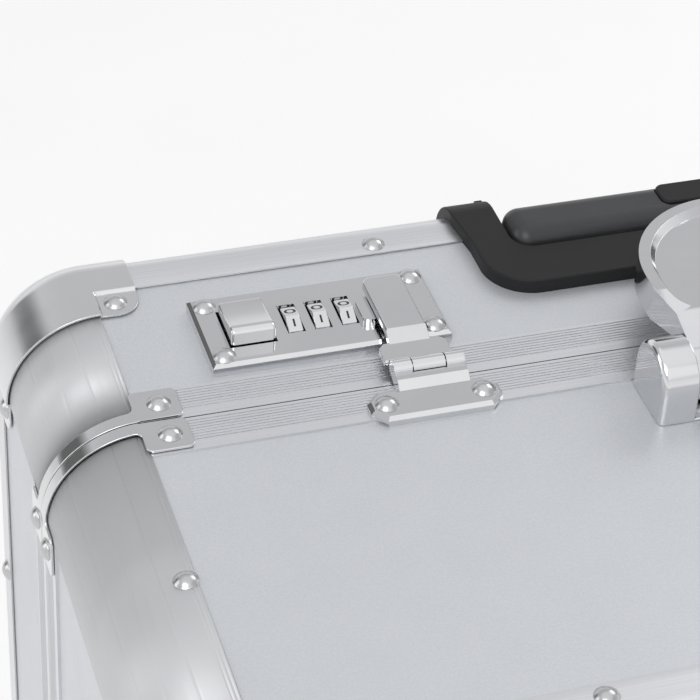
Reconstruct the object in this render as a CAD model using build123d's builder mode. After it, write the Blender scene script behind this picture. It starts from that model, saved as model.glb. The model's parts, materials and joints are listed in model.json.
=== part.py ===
from build123d import *
from math import cos, radians, sin, sqrt
import os

os.makedirs("parts", exist_ok=True)

# Aluminium trolley pilot case, in millimetres.
# X runs along the case's width, +Y to its back, +Z up, and the floor is at Z = 0.
# The case splits across the top, down both sides and across the bottom, in one
# upright plane. The back half stands on wheels and holds the telescopic handle and
# the locks. The front half is the lid: it is hinged to the back half at the bottom.
# "reach" is the distance from the split, and "depth" the distance below the outside.

# Shell
CASE_W = 470.0
CASE_H = 370.0
BACK_REACH = 81.0
FRONT_REACH = 145.0
GROUND_GAP = 14.0
SHELL_R = 28.0
EDGE_R = 10.0
HALF_GAP = 0.2
FIT_GAP = 0.3
RUNNING_GAP = 0.06
LIP_T = 0.8
PANEL_T = 2.4
TONGUE_T = 1.0
LINING_T = 1.2

# Aluminium profiles
FRAME_LIP = 13.7
FRAME_WEB = 3.0
FRAME_WEB_DEPTH = 8.0
FRAME_TONGUE = 9.0
RIB_PITCH = 1.15
RIB_W = 0.45
RIB_DEPTH = 0.3
RIB_BANDS = {"back": (4.2, 1.2), "front": (1.6, 3.8)}
RIM_T = 1.6
RIM_REACH = 4.0
RIM_GAP = 0.5
SEAL_T = 1.7
LEDGE_T = 1.5
EDGE_LIP = 9.0
EDGE_TONGUE = 7.0
CORNER_TONGUE = 8.0
GROOVE_R = 0.35
GROOVE_ANGLES = [22.0, 37.0, 53.0, 69.7, 86.5]

# Chrome corner pieces
CAP_T = 1.3
CAP_ARM = 41.0
CAP_REACH = 31.0
CAP_TAB_R = 7.0
CAP_LAP = 1.0
CAP_RIVET_SET = 5.8
CAP_RIVET_LEG = 33.8
CAP_RIVET_INSET = 26.8
CAP_TAB_T = 1.1
CAP_SEAT = 19.0
BAND_W = 4.4
BRACKET_T = 1.0
BRACKET_L = 13.4
BRACKET_W = 12.4
BRACKET_SHIFT = 0.6
BRACKET_R = 2.0
BRACKET_RIVET_LEG = 34.9

# Rivets
RIVET_R = 3.5
RIVET_H = 1.9
SHANK_R = 1.5
PROFILE_RIVET_ANGLE = 6.0
PROFILE_RIVET_PLACE = 0.44
PROFILE_RIVET_SPAN = 100.0
EDGE_RIVET_SIDE = 117.5
EDGE_RIVET_END = 111.0

# Locks
LOCK_SIDE = 89.7
LOCK_REACH = 32.2
LOCK_L = 72.6
LOCK_W = 32.0
LOCK_T = 4.0
LOCK_SKIN = 1.0
LOCK_BEVEL = 1.0
LOCK_RIVET_X = 32.0
LOCK_RIVET_Y = 11.8
BUTTON_X = -22.2
BUTTON_Y = -0.1
BUTTON_L = 13.4
BUTTON_W = 16.4
BUTTON_H = 5.6
BUTTON_DIP = 1.6
BUTTON_GAP = 0.5
BUTTON_SHOE = 1.0
DIAL_X = -8.4
DIAL_PITCH = 8.25
DIAL_COUNT = 3
DIAL_R = 8.2
DIAL_T = 4.6
DIAL_SHIFT = 0.6
DIAL_PROUD = 2.1
DIAL_FACETS = 10
DIAL_TURN = 11.0
WINDOW_L = 5.3
SPINDLE_R = 1.5
LOCK_CASE_H = 9.5
LOCK_CASE_T = 1.0
BOLT_W = 2.6
BOLT_T = 1.5
BOLT_L = 36.0
BOLT_GAP = 0.35
BOLT_START = 2.6
LUG_L = 5.0
LUG_W = 11.0
LUG_H = 2.0

# Hasps
HASP_X = 23.6
HASP_AXIS_REACH = 2.0
HASP_AXIS_H = 4.2
KNUCKLE_R = 2.6
KNUCKLE_L = 21.4
KNUCKLE_MID = 9.8
HASP_PIN_R = 1.0
FINGER_X = -2.2
FINGER_L = 12.3
FINGER_REACH = 41.0
FINGER_T = 2.3
FINGER_GAP = 2.4
FINGER_R = 2.6
FINGER_EASE = 0.7
WING_L = 20.6
WING_X = -1.7
WING_REACH = 12.5
WING_T = 2.0
WING_SINK = 0.9
TONGUE_L = 4.0
TONGUE_W = 3.6
BASE_L = 39.6
BASE_X = -1.4
BASE_NEAR = 16.6
BASE_FAR = 4.0
BASE_T = 2.2
BASE_CUT = 4.0
BASE_BEVEL = 1.1
BLOCK_LAP = 1.7
BLOCK_BEVEL = 2.3
BLOCK_UNDER = 1.0
BASE_RIVET_X = 14.6
BASE_RIVET_REACH = 10.3

# Carry handle
HANDLE_X = 56.0
HANDLE_SET = 0.1
HANDLE_AXIS_H = 9.5
HANDLE_H = 13.5
HANDLE_T = 11.0
HANDLE_FAR = 34.5
HANDLE_R = 33.0
HANDLE_KNUCKLE_R = 8.8
HANDLE_NECK = 3.5
HANDLE_SHOULDER = 9.0
HANDLE_ARM = 8.1
HANDLE_RIM = 3.5
HANDLE_DISH = 2.2
HANDLE_FAR_RIM = 3.5
HANDLE_DISH_NEAR = -14.5
HANDLE_DISH_R = 10.0
HANDLE_TAPER = 35.0
HANDLE_HOLE_FAR = 3.0
HANDLE_SIDE = 14.5
HANDLE_HOLE_R = 13.0
HANDLE_PIN_R = 2.5
EAR_T = 11.2
EAR_IN_T = 5.5
EAR_R = 10.7
EAR_EASE = 2.0
PIN_COVER = 2.0
BRACKET_BASE_T = 1.0

# Telescopic handle
BEZEL_LOCK_GAP = 18.0
BEZEL_W = 48.8
BEZEL_H = 3.9
BEZEL_R = 15.0
BEZEL_FLARE = 1.8
BEZEL_DROP = 40.0
BEZEL_PROUD = 3.0
BEZEL_EASE = 0.7
WELL_SIDE = 13.9
WELL_W = 31.7
WELL_DEPTH = 26.0
WELL_R = 7.0
WELL_T = 2.5
GRIP_END_GAP = 1.2
GRIP_W = 18.0
GRIP_T = 16.0
GRIP_TOP = 7.0
GRIP_SET = 2.2
GRIP_R = 6.5
GRIP_END_R = 5.0
TUBE_SIDE = 19.9
TUBE_SHIFT = 1.5
TUBE_L = 26.0
TUBE_W = 14.0
TUBE_T = 1.2
TUBE_R = 3.0
TUBE_GAP = 0.4
TUBE_FOOT_H = 12.0
TUBE_STEP = 0.3
TUBE_COLLAR = 3.0
PUSH_L = 51.0
PUSH_W = 10.0
PUSH_R = 3.0
PUSH_SHIFT = 1.0
PUSH_H = 5.0
PUSH_PROUD = 0.8
PUSH_TRAVEL = 2.5

# Wheels and feet
WHEEL_SIDE = 65.0
WHEEL_R = 25.0
WHEEL_W = 20.0
TYRE_T = 5.0
WHEEL_PROUD = 3.0
WHEEL_GAP = 3.0
HUB_R = 7.0
AXLE_R = 3.0
HOUSING_T = 2.5
HOUSING_FLANGE = 6.0
HOUSING_FLANGE_T = 2.0
FOOT_SIDE = 65.0
FOOT_SET = 1.0
FOOT_R = 13.0
FOOT_TAPER = 2.0

# Bottom hinges
HINGE_SIDE = 115.0
HINGE_L = 42.0
HINGE_KNUCKLES = 5
HINGE_R = 2.8
HINGE_DROP = 3.3
HINGE_PIN_R = 1.2
LEAF_T = 1.6
LEAF_REACH = 13.4
LEAF_RIVET_REACH = 8.5
LEAF_RIVET_X = 14.0

# Derived places
SPLIT_Y = (FRONT_REACH - BACK_REACH) / 2
Z_TOP = GROUND_GAP + CASE_H
Z_MID = GROUND_GAP + CASE_H / 2
PANEL_IN = LIP_T + PANEL_T
SKIN_T = PANEL_IN + TONGUE_T
RIM_DEPTH = FRAME_WEB_DEPTH - RIM_T
CORNER_X = CASE_W / 2 - SHELL_R
CORNER_Z = CASE_H / 2 - SHELL_R
LOCK_X = CASE_W / 2 - LOCK_SIDE
BEZEL_L = 2 * (LOCK_X - LOCK_L / 2 - BEZEL_LOCK_GAP)
BEZEL_NEAR = BACK_REACH - BEZEL_W
WELL_L = BEZEL_L - 2 * WELL_SIDE
WELL_NEAR = BACK_REACH - WELL_W
GRIP_L = WELL_L - 2 * GRIP_END_GAP
GRIP_REACH = WELL_NEAR + GRIP_SET + GRIP_W / 2
TUBE_X = GRIP_L / 2 - TUBE_SIDE
HANDLE_AXIS_REACH = FRAME_LIP + HANDLE_SET + EAR_R
HANDLE_HOLE_X = HANDLE_X - HANDLE_SIDE
HANDLE_KNUCKLE_X = HANDLE_X - HANDLE_NECK
WHEEL_X = CASE_W / 2 - WHEEL_SIDE
FOOT_X = CASE_W / 2 - FOOT_SIDE
FOOT_REACH = FRONT_REACH - EDGE_R - EDGE_LIP - FOOT_R - FOOT_SET
HINGE_X = CASE_W / 2 - HINGE_SIDE
SIGNS = (-1, 1)
HALVES = {"back": (1, BACK_REACH), "front": (-1, FRONT_REACH)}
LINING_START = {"back": FRAME_WEB, "front": RIM_REACH + FIT_GAP + SEAL_T + LEDGE_T}


def save(piece, node):
    """Label a finished piece and write it under its node's name."""
    piece.label = node
    export_step(piece, f"parts/{node}.step")


def box_between(x, y, z, mode=Mode.ADD):
    """A box between two X, two Y and two Z values."""
    size = [abs(pair[1] - pair[0]) for pair in (x, y, z)]
    middle = tuple((pair[0] + pair[1]) / 2 for pair in (x, y, z))
    with Locations(middle):
        Box(*size, mode=mode)


def reach_y(side, reach):
    """The Y of a point at a distance from the split, on the half with this side."""
    return SPLIT_Y + side * reach


def ring(side, start, end, outer, inner):
    """A ring parallel to the split, between two reaches and two depths."""
    ys = sorted((reach_y(side, start), reach_y(side, end)))
    with BuildSketch(Plane.XZ.offset(-ys[1])) as loop:
        with Locations((0, Z_MID)):
            RectangleRounded(CASE_W - 2 * outer, CASE_H - 2 * outer, SHELL_R - outer)
            RectangleRounded(CASE_W - 2 * inner, CASE_H - 2 * inner, SHELL_R - inner, mode=Mode.SUBTRACT)
    extrude(loop.sketch, amount=ys[1] - ys[0])


def half_block(side, start, end, depth):
    """The filled form of one half, at a depth below its outside, its far edges rounded."""
    ys = sorted((reach_y(side, start), reach_y(side, end)))
    with BuildPart() as block:
        with BuildSketch(Plane.XZ.offset(-ys[1])):
            with Locations((0, Z_MID)):
                RectangleRounded(CASE_W - 2 * depth, CASE_H - 2 * depth, SHELL_R - depth)
        extrude(amount=ys[1] - ys[0])
        far_face = block.faces().sort_by(Axis.Y)[-1 if side > 0 else 0]
        fillet(far_face.edges(), max(EDGE_R - depth, 1.0))
    return block.part


def straight_lengths(side, outline):
    """Four straight lengths of one section, along the top, bottom, left and right.

    outline(place) draws the section's lines, where place maps (reach, depth) to the
    sketch's own coordinates.
    """
    for sign in SIGNS:
        surface = Z_MID + sign * CASE_H / 2
        with BuildSketch(Plane.YZ) as flat:
            with BuildLine():
                outline(lambda reach, depth: (reach_y(side, reach), surface - sign * depth))
            make_face()
        extrude(flat.sketch, amount=CORNER_X, both=True)
    for sign in SIGNS:
        with BuildSketch(Plane.XY.offset(Z_MID)) as upright:
            with BuildLine():
                outline(lambda reach, depth: (sign * (CASE_W / 2 - depth), reach_y(side, reach)))
            make_face()
        extrude(upright.sketch, amount=CORNER_Z, both=True)


def on_top(x, side, reach, height, sign=1):
    """A place on the top face (or the bottom face, with sign -1), facing out."""
    origin = (x, reach_y(side, reach), Z_MID + sign * (CASE_H / 2 + height))
    return Location(Plane(origin=origin, x_dir=(1, 0, 0), z_dir=(0, 0, sign)))


def on_side(sign, side, reach, z, height):
    """A place on the left or right face, facing out."""
    origin = (sign * (CASE_W / 2 + height), reach_y(side, reach), z)
    return Location(Plane(origin=origin, x_dir=(0, 1, 0), z_dir=(sign, 0, 0)))


def on_face(x, side, reach, z, height):
    """A place on the back or front face, facing out."""
    origin = (x, reach_y(side, reach + height), z)
    return Location(Plane(origin=origin, x_dir=(1, 0, 0), z_dir=(0, side, 0)))


def make_rivet(height):
    """One domed rivet on a surface at a height above the profiles' outside."""
    dome_r = (RIVET_R**2 + RIVET_H**2) / (2 * RIVET_H)
    mid = radians(45) * RIVET_R / dome_r
    with BuildPart() as rivet:
        with BuildSketch(Plane.XZ):
            with BuildLine():
                Line((0, 0), (RIVET_R, 0))
                ThreePointArc(
                    (RIVET_R, 0),
                    (dome_r * sin(mid), RIVET_H - dome_r * (1 - cos(mid))),
                    (0, RIVET_H),
                )
                Line((0, RIVET_H), (0, 0))
            make_face()
        revolve(axis=Axis.Z)
        Cylinder(SHANK_R, SKIN_T + height, align=(Align.CENTER, Align.CENTER, Align.MAX))
    return rivet.part


def drill(places, height=0.0):
    """Holes for the rivets' shanks."""
    with Locations(*places):
        Cylinder(SHANK_R, 4 * SKIN_T + 4 * height, mode=Mode.SUBTRACT)


def lock_x(sign, x):
    """The X of a place on the left (-1) or right (1) lock, x from its middle towards the case's."""
    return sign * (LOCK_X - x)


# Rivet places, shared by the rivets and by the holes they fill

def corner_signs():
    """The signs of the four corners, seen along Y."""
    return [(x_sign, z_sign) for x_sign in SIGNS for z_sign in SIGNS]


def bracket_places(side):
    """Rivets through the frame brackets: one on each leg."""
    reach = BRACKET_SHIFT + BRACKET_W / 2
    places = []
    for x_sign, z_sign in corner_signs():
        places.append(on_top(x_sign * (CASE_W / 2 - BRACKET_RIVET_LEG), side, reach, BRACKET_T, z_sign))
        z_leg = Z_MID + z_sign * (CASE_H / 2 - BRACKET_RIVET_LEG)
        places.append(on_side(x_sign, side, reach, z_leg, BRACKET_T))
    return places


def cap_places(side, full):
    """Rivets through the corner caps' tabs: one on each of the three faces."""
    leg = CAP_RIVET_LEG
    reach = full - CAP_REACH + CAP_RIVET_SET
    height = CAP_TAB_T - LIP_T
    inset = CAP_RIVET_INSET
    places = []
    for x_sign, z_sign in corner_signs():
        z_leg = Z_MID + z_sign * (CASE_H / 2 - leg)
        places.append(on_top(x_sign * (CASE_W / 2 - leg), side, reach, height, z_sign))
        places.append(on_side(x_sign, side, reach, z_leg, height))
        places.append(
            on_face(x_sign * (CASE_W / 2 - inset), side, full, Z_MID + z_sign * (CASE_H / 2 - inset), height)
        )
    return places


def edge_places(side, full):
    """Rivets along the edge profiles: two on each length."""
    reach = full - EDGE_R - EDGE_LIP / 2
    places = []
    for sign in SIGNS:
        for other in SIGNS:
            places.append(on_top(other * (CASE_W / 2 - EDGE_RIVET_SIDE), side, reach, 0, sign))
            places.append(on_side(sign, side, reach, Z_MID + other * (CASE_H / 2 - EDGE_RIVET_END), 0))
    return places


def profile_places(side, full):
    """Rivets at mid-length of a deep half's corner profiles, near their seams."""
    if full < PROFILE_RIVET_SPAN:
        return []
    angle = radians(PROFILE_RIVET_ANGLE)
    reach = full * PROFILE_RIVET_PLACE
    places = []
    for x_sign, z_sign in corner_signs():
        direction = (x_sign * sin(angle), 0, z_sign * cos(angle))
        origin = (
            x_sign * (CORNER_X + SHELL_R * sin(angle)),
            reach_y(side, reach),
            Z_MID + z_sign * (CORNER_Z + SHELL_R * cos(angle)),
        )
        places.append(Location(Plane(origin=origin, x_dir=(0, 1, 0), z_dir=direction)))
    return places


def lock_places():
    """Rivets through the lock plates."""
    return [
        on_top(x_sign * LOCK_X + x * LOCK_RIVET_X, 1, LOCK_REACH + y * LOCK_RIVET_Y, LOCK_T - LIP_T)
        for x_sign in SIGNS
        for x in SIGNS
        for y in SIGNS
    ]


def hasp_places():
    """Rivets through the hasp bases."""
    return [
        on_top(x_sign * (LOCK_X - HASP_X - BASE_X) + x * BASE_RIVET_X, -1, BASE_RIVET_REACH, BASE_T)
        for x_sign in SIGNS
        for x in SIGNS
    ]


def leaf_places(side):
    """Rivets through the bottom hinges' leaves."""
    return [
        on_top(x_sign * HINGE_X + x * LEAF_RIVET_X, side, LEAF_RIVET_REACH, LEAF_T, -1)
        for x_sign in SIGNS
        for x in SIGNS
    ]


def drill_half(side, full):
    """Every rivet hole that a half's profiles and panels share."""
    drill(bracket_places(side) + cap_places(side, full) + leaf_places(side))
    if side > 0:
        drill(lock_places())
    else:
        drill(hasp_places())


# Cut-outs that several pieces share

def bezel_well(grow):
    """The space taken by the telescopic handle's well, grown all round."""
    box_between(
        (-WELL_L / 2 - WELL_T - grow, WELL_L / 2 + WELL_T + grow),
        (reach_y(1, WELL_NEAR - WELL_T - grow), reach_y(1, BACK_REACH + BEZEL_PROUD)),
        (Z_TOP - WELL_DEPTH - WELL_T - grow, Z_TOP + BEZEL_H),
        mode=Mode.SUBTRACT,
    )


WHEEL_Y = reach_y(1, BACK_REACH + WHEEL_PROUD - WHEEL_R)
ARCH_R = WHEEL_R + WHEEL_GAP
HOUSING_X = WHEEL_W / 2 + WHEEL_GAP / 2 + HOUSING_T
HOUSING_FRONT = WHEEL_Y - ARCH_R - HOUSING_T
HOUSING_TOP = WHEEL_R + ARCH_R + HOUSING_T


def wheel_wells(grow):
    """The space taken by the wheel housings, grown all round."""
    for sign in SIGNS:
        box_between(
            (sign * WHEEL_X - HOUSING_X - grow, sign * WHEEL_X + HOUSING_X + grow),
            (HOUSING_FRONT - grow, reach_y(1, BACK_REACH + EDGE_R)),
            (0, HOUSING_TOP + grow),
            mode=Mode.SUBTRACT,
        )


LOCK_CASE_X = (
    BUTTON_X - BUTTON_L / 2 - FIT_GAP - LOCK_CASE_T,
    DIAL_X + DIAL_PITCH * (DIAL_COUNT - 1) + WINDOW_L / 2 + LOCK_CASE_T,
)
LOCK_CASE_Y = LOCK_W / 2 - 2 * LOCK_CASE_T
LOCK_LOW = Z_TOP - LIP_T
LOCK_TOP = LOCK_LOW + LOCK_T


def lock_cavities(grow):
    """The space taken by the lock cases below the lock plates."""
    for sign in SIGNS:
        x = sorted(lock_x(sign, step) for step in LOCK_CASE_X)
        middle = reach_y(1, LOCK_REACH)
        box_between(
            (x[0] - grow, x[1] + grow),
            (middle - LOCK_CASE_Y - grow, middle + LOCK_CASE_Y + grow),
            (Z_TOP - PANEL_IN - LOCK_CASE_H - grow, Z_TOP),
            mode=Mode.SUBTRACT,
        )


# Shell halves

def make_frame(half):
    """The ribbed frame round the split: straight ribbed lengths on one closed web."""
    side, _ = HALVES[half]
    web_depth = FRAME_WEB_DEPTH if side > 0 else RIM_DEPTH - RIM_GAP
    first_rib, smooth = RIB_BANDS[half]
    rib_count = int((FRAME_LIP - smooth - first_rib) / RIB_PITCH) + 1

    def section(place):
        points = [(HALF_GAP, 0)]
        for index in range(rib_count):
            middle = first_rib + index * RIB_PITCH
            points += [
                (middle - RIB_W / 2, 0),
                (middle - RIB_W / 2, RIB_DEPTH),
                (middle + RIB_W / 2, RIB_DEPTH),
                (middle + RIB_W / 2, 0),
            ]
        points += [
            (FRAME_LIP, 0),
            (FRAME_LIP, LIP_T),
            (FRAME_WEB, LIP_T),
            (FRAME_WEB, PANEL_IN),
            (FRAME_WEB + FRAME_TONGUE, PANEL_IN),
            (FRAME_WEB + FRAME_TONGUE, SKIN_T),
            (FRAME_WEB, SKIN_T),
            (FRAME_WEB, web_depth),
            (HALF_GAP, web_depth),
        ]
        Polyline(*[place(*point) for point in points], close=True)

    with BuildPart() as frame:
        straight_lengths(side, section)
        ring(side, HALF_GAP, FRAME_WEB, LIP_T, web_depth)
        if side > 0:
            ring(side, -RIM_REACH, HALF_GAP, RIM_DEPTH, FRAME_WEB_DEPTH)
        else:
            seat = RIM_REACH + FIT_GAP + SEAL_T
            ring(side, FRAME_WEB, seat, SKIN_T, web_depth)
            ring(side, seat, seat + LEDGE_T, SKIN_T, FRAME_WEB_DEPTH)
        drill(bracket_places(side) + leaf_places(side) + (hasp_places() if side < 0 else []))
    return frame.part


def make_edge_profiles(half):
    """The four rounded profiles that hold the far panel to the side panels."""
    side, full = HALVES[half]
    bend = full - EDGE_R
    inner_r = EDGE_R - SKIN_T
    slant = sin(radians(45))

    def section(place):
        Line(place(bend - EDGE_LIP, 0), place(bend, 0))
        ThreePointArc(
            place(bend, 0),
            place(bend + EDGE_R * slant, EDGE_R - EDGE_R * slant),
            place(full, EDGE_R),
        )
        Polyline(
            place(full, EDGE_R),
            place(full, EDGE_R + EDGE_LIP),
            place(full - LIP_T, EDGE_R + EDGE_LIP),
            place(full - LIP_T, EDGE_R),
            place(full - PANEL_IN, EDGE_R),
            place(full - PANEL_IN, EDGE_R + EDGE_TONGUE),
            place(full - SKIN_T, EDGE_R + EDGE_TONGUE),
            place(full - SKIN_T, EDGE_R),
        )
        ThreePointArc(
            place(full - SKIN_T, EDGE_R),
            place(bend + inner_r * slant, EDGE_R - inner_r * slant),
            place(bend, SKIN_T),
        )
        Polyline(
            place(bend, SKIN_T),
            place(bend - EDGE_TONGUE, SKIN_T),
            place(bend - EDGE_TONGUE, PANEL_IN),
            place(bend, PANEL_IN),
            place(bend, LIP_T),
            place(bend - EDGE_LIP, LIP_T),
            place(bend - EDGE_LIP, 0),
        )

    with BuildPart() as profiles:
        straight_lengths(side, section)
        drill(edge_places(side, full))
        if side > 0:
            bezel_well(0)
            wheel_wells(0)
    return profiles.part


def make_corner_profiles(half):
    """The four quarter-round profiles that run from the frame to the far corners."""
    side, full = HALVES[half]
    start = BAND_W + HALF_GAP
    end = full - EDGE_R
    ys = sorted((reach_y(side, start), reach_y(side, end)))
    with BuildPart() as profiles:
        with BuildSketch(Plane.XZ.offset(-ys[1])):
            for x_sign, z_sign in corner_signs():
                centre = (x_sign * CORNER_X, Z_MID + z_sign * CORNER_Z)
                arc_start = 90 * (1 - x_sign * z_sign) / 2 + (180 if z_sign < 0 else 0)
                with BuildLine():
                    outer = CenterArc(centre, SHELL_R, arc_start, 90)
                    inner = CenterArc(centre, SHELL_R - SKIN_T, arc_start, 90)
                    Line(outer @ 0, inner @ 0)
                    Line(outer @ 1, inner @ 1)
                make_face()
                middle = SHELL_R - PANEL_IN - TONGUE_T / 2
                with Locations((centre[0] - x_sign * CORNER_TONGUE / 2, centre[1] + z_sign * middle)):
                    Rectangle(CORNER_TONGUE, TONGUE_T)
                with Locations((centre[0] + x_sign * middle, centre[1] - z_sign * CORNER_TONGUE / 2)):
                    Rectangle(TONGUE_T, CORNER_TONGUE)
                for angle in GROOVE_ANGLES:
                    turn = radians(angle)
                    spot = (centre[0] + x_sign * SHELL_R * cos(turn), centre[1] + z_sign * SHELL_R * sin(turn))
                    with Locations(spot):
                        Circle(GROOVE_R, mode=Mode.SUBTRACT)
        extrude(amount=ys[1] - ys[0])
        ring_cut = FRAME_WEB + FRAME_TONGUE
        for x_sign, z_sign in corner_signs():
            box_between(
                (x_sign * (CORNER_X - CORNER_TONGUE), x_sign * CORNER_X),
                (reach_y(side, 0), reach_y(side, ring_cut)),
                (Z_MID - CASE_H, Z_MID + CASE_H),
                mode=Mode.SUBTRACT,
            )
            box_between(
                (-CASE_W, CASE_W),
                (reach_y(side, 0), reach_y(side, ring_cut)),
                (Z_MID + z_sign * (CORNER_Z - CORNER_TONGUE), Z_MID + z_sign * CORNER_Z),
                mode=Mode.SUBTRACT,
            )
            box_between(
                (x_sign * (CORNER_X - CORNER_TONGUE), x_sign * CORNER_X),
                (reach_y(side, end - EDGE_TONGUE), reach_y(side, end)),
                (Z_MID - CASE_H, Z_MID + CASE_H),
                mode=Mode.SUBTRACT,
            )
            box_between(
                (-CASE_W, CASE_W),
                (reach_y(side, end - EDGE_TONGUE), reach_y(side, end)),
                (Z_MID + z_sign * (CORNER_Z - CORNER_TONGUE), Z_MID + z_sign * CORNER_Z),
                mode=Mode.SUBTRACT,
            )
        drill(profile_places(side, full) + cap_places(side, full))
    return profiles.part


def tab_limits(x, y, x_sign, y_sign):
    """A flat area that reaches from a point inwards, against both signs."""
    with BuildSketch() as area:
        with Locations((x - x_sign * CAP_ARM / 2, y - y_sign * CAP_ARM / 2)):
            Rectangle(CAP_ARM, CAP_ARM)
    return area.sketch


def make_caps(half):
    """Pressed corner caps with a tab and a rivet on each of their three faces."""
    side, full = HALVES[half]
    start = full - CAP_REACH
    grown = half_block(side, start, full + CAP_T, -CAP_T)
    base = half_block(side, start - 1, full, 0)
    tab_reach = start + CAP_TAB_R + HALF_GAP
    lip_start = full - EDGE_R - EDGE_LIP - CAP_LAP
    y_near = reach_y(side, start)
    y_lip = reach_y(side, lip_start)
    y_tab = reach_y(side, tab_reach)
    y_bend = reach_y(side, full - EDGE_R)
    y_far = reach_y(side, full + 2 * CAP_T)
    # only the corner and its short arms along the edges are kept
    with BuildPart() as keep:
        for x_sign, z_sign in corner_signs():
            x_out = x_sign * (CASE_W / 2 + 2 * CAP_T)
            z_out = Z_MID + z_sign * (CASE_H / 2 + 2 * CAP_T)
            x_arm = x_sign * (CASE_W / 2 - CAP_ARM)
            z_arm = Z_MID + z_sign * (CASE_H / 2 - CAP_ARM)
            x_seat = x_sign * (CASE_W / 2 - CAP_SEAT)
            z_seat = Z_MID + z_sign * (CASE_H / 2 - CAP_SEAT)
            box_between((x_sign * CORNER_X, x_out), (y_near, y_bend), (Z_MID + z_sign * CORNER_Z, z_out))
            box_between((x_arm, x_out), (y_lip, y_far), (z_seat, z_out))
            box_between((x_seat, x_out), (y_lip, y_far), (z_arm, z_out))
    with BuildPart() as caps:
        add(grown)
        add(base, mode=Mode.SUBTRACT)
        add(keep.part, mode=Mode.INTERSECT)
        for x_sign, z_sign in corner_signs():
            x_leg = x_sign * (CASE_W / 2 - CAP_RIVET_LEG)
            z_leg = Z_MID + z_sign * (CASE_H / 2 - CAP_RIVET_LEG)
            x_arm = x_sign * (CASE_W / 2 - CAP_ARM)
            z_arm = Z_MID + z_sign * (CASE_H / 2 - CAP_ARM)
            x_side = sorted(x_sign * (CASE_W / 2 - LIP_T + step) for step in (0, CAP_TAB_T))
            z_side = sorted(Z_MID + z_sign * (CASE_H / 2 - LIP_T + step) for step in (0, CAP_TAB_T))
            # the tabs on the top or bottom and on the side
            box_between((x_leg, x_sign * CORNER_X), (y_near, y_lip), z_side)
            box_between((x_arm, x_leg), (y_tab, y_lip), z_side)
            with BuildSketch(Plane.XY.offset(z_side[0])):
                with Locations((x_leg, y_tab)):
                    Circle(CAP_TAB_R)
                add(tab_limits(x_sign * CORNER_X, y_lip, x_sign, side), mode=Mode.INTERSECT)
            extrude(amount=CAP_TAB_T)
            box_between(x_side, (y_near, y_lip), (z_leg, Z_MID + z_sign * CORNER_Z))
            box_between(x_side, (y_tab, y_lip), (z_arm, z_leg))
            with BuildSketch(Plane.YZ.offset(x_side[0])):
                with Locations((y_tab, z_leg)):
                    Circle(CAP_TAB_R)
                add(tab_limits(y_lip, Z_MID + z_sign * CORNER_Z, side, z_sign), mode=Mode.INTERSECT)
            extrude(amount=CAP_TAB_T)
            # the tab on the front or back
            x_in = x_sign * (CASE_W / 2 - CAP_RIVET_INSET)
            z_in = Z_MID + z_sign * (CASE_H / 2 - CAP_RIVET_INSET)
            with Locations(on_face(x_in, side, full, z_in, -LIP_T)):
                Cylinder(CAP_TAB_R, CAP_TAB_T, align=(Align.CENTER, Align.CENTER, Align.MIN))
            box_between(
                (x_in, x_sign * (CASE_W / 2 - CAP_SEAT)),
                (reach_y(side, full - LIP_T), reach_y(side, full - LIP_T + CAP_TAB_T)),
                (z_in, Z_MID + z_sign * (CASE_H / 2 - CAP_SEAT)),
            )
        drill(cap_places(side, full))
    return caps.part


def make_brackets(half):
    """Frame brackets: a plate on each leg, joined by a band round the corner."""
    side, _ = HALVES[half]
    near = BRACKET_SHIFT
    far = BRACKET_SHIFT + BRACKET_W
    long = BRACKET_L + 2 * FIT_GAP
    with BuildPart() as corners:
        for x_sign, z_sign in corner_signs():
            box_between(
                (x_sign * CORNER_X, x_sign * CASE_W),
                (reach_y(side, -1), reach_y(side, 2 * BAND_W)),
                (Z_MID + z_sign * CORNER_Z, Z_MID + z_sign * CASE_H),
            )
    with BuildPart() as brackets:
        ring(side, HALF_GAP, HALF_GAP + BAND_W, -BRACKET_T, LIP_T)
        add(corners.part, mode=Mode.INTERSECT)
        for x_sign, z_sign in corner_signs():
            x_place = x_sign * (CASE_W / 2 - CAP_ARM + long / 2)
            z_place = Z_MID + z_sign * (CASE_H / 2 - CAP_ARM + long / 2)
            with BuildSketch(Plane.XY.offset(Z_MID + z_sign * CASE_H / 2)):
                with Locations((x_place, reach_y(side, (near + far) / 2))):
                    RectangleRounded(long, BRACKET_W, BRACKET_R)
            extrude(amount=z_sign * BRACKET_T)
            with BuildSketch(Plane.YZ.offset(x_sign * CASE_W / 2)):
                with Locations((reach_y(side, (near + far) / 2), z_place)):
                    RectangleRounded(BRACKET_W, long, BRACKET_R)
            extrude(amount=x_sign * BRACKET_T)
        drill(bracket_places(side), BRACKET_T)
    return brackets.part


def make_rivets(half):
    """All of one half's rivets."""
    side, full = HALVES[half]
    sets = [
        (bracket_places(side), BRACKET_T),
        (cap_places(side, full), CAP_TAB_T - LIP_T),
        (edge_places(side, full) + profile_places(side, full), 0),
        (leaf_places(side), LEAF_T),
        (lock_places(), LOCK_T - LIP_T) if side > 0 else (hasp_places(), BASE_T),
    ]
    kinds = [make_rivet(height) for _, height in sets]
    with BuildPart() as group:
        for (places, _), kind in zip(sets, kinds):
            with Locations(*places):
                add(kind)
    return group.part


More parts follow.
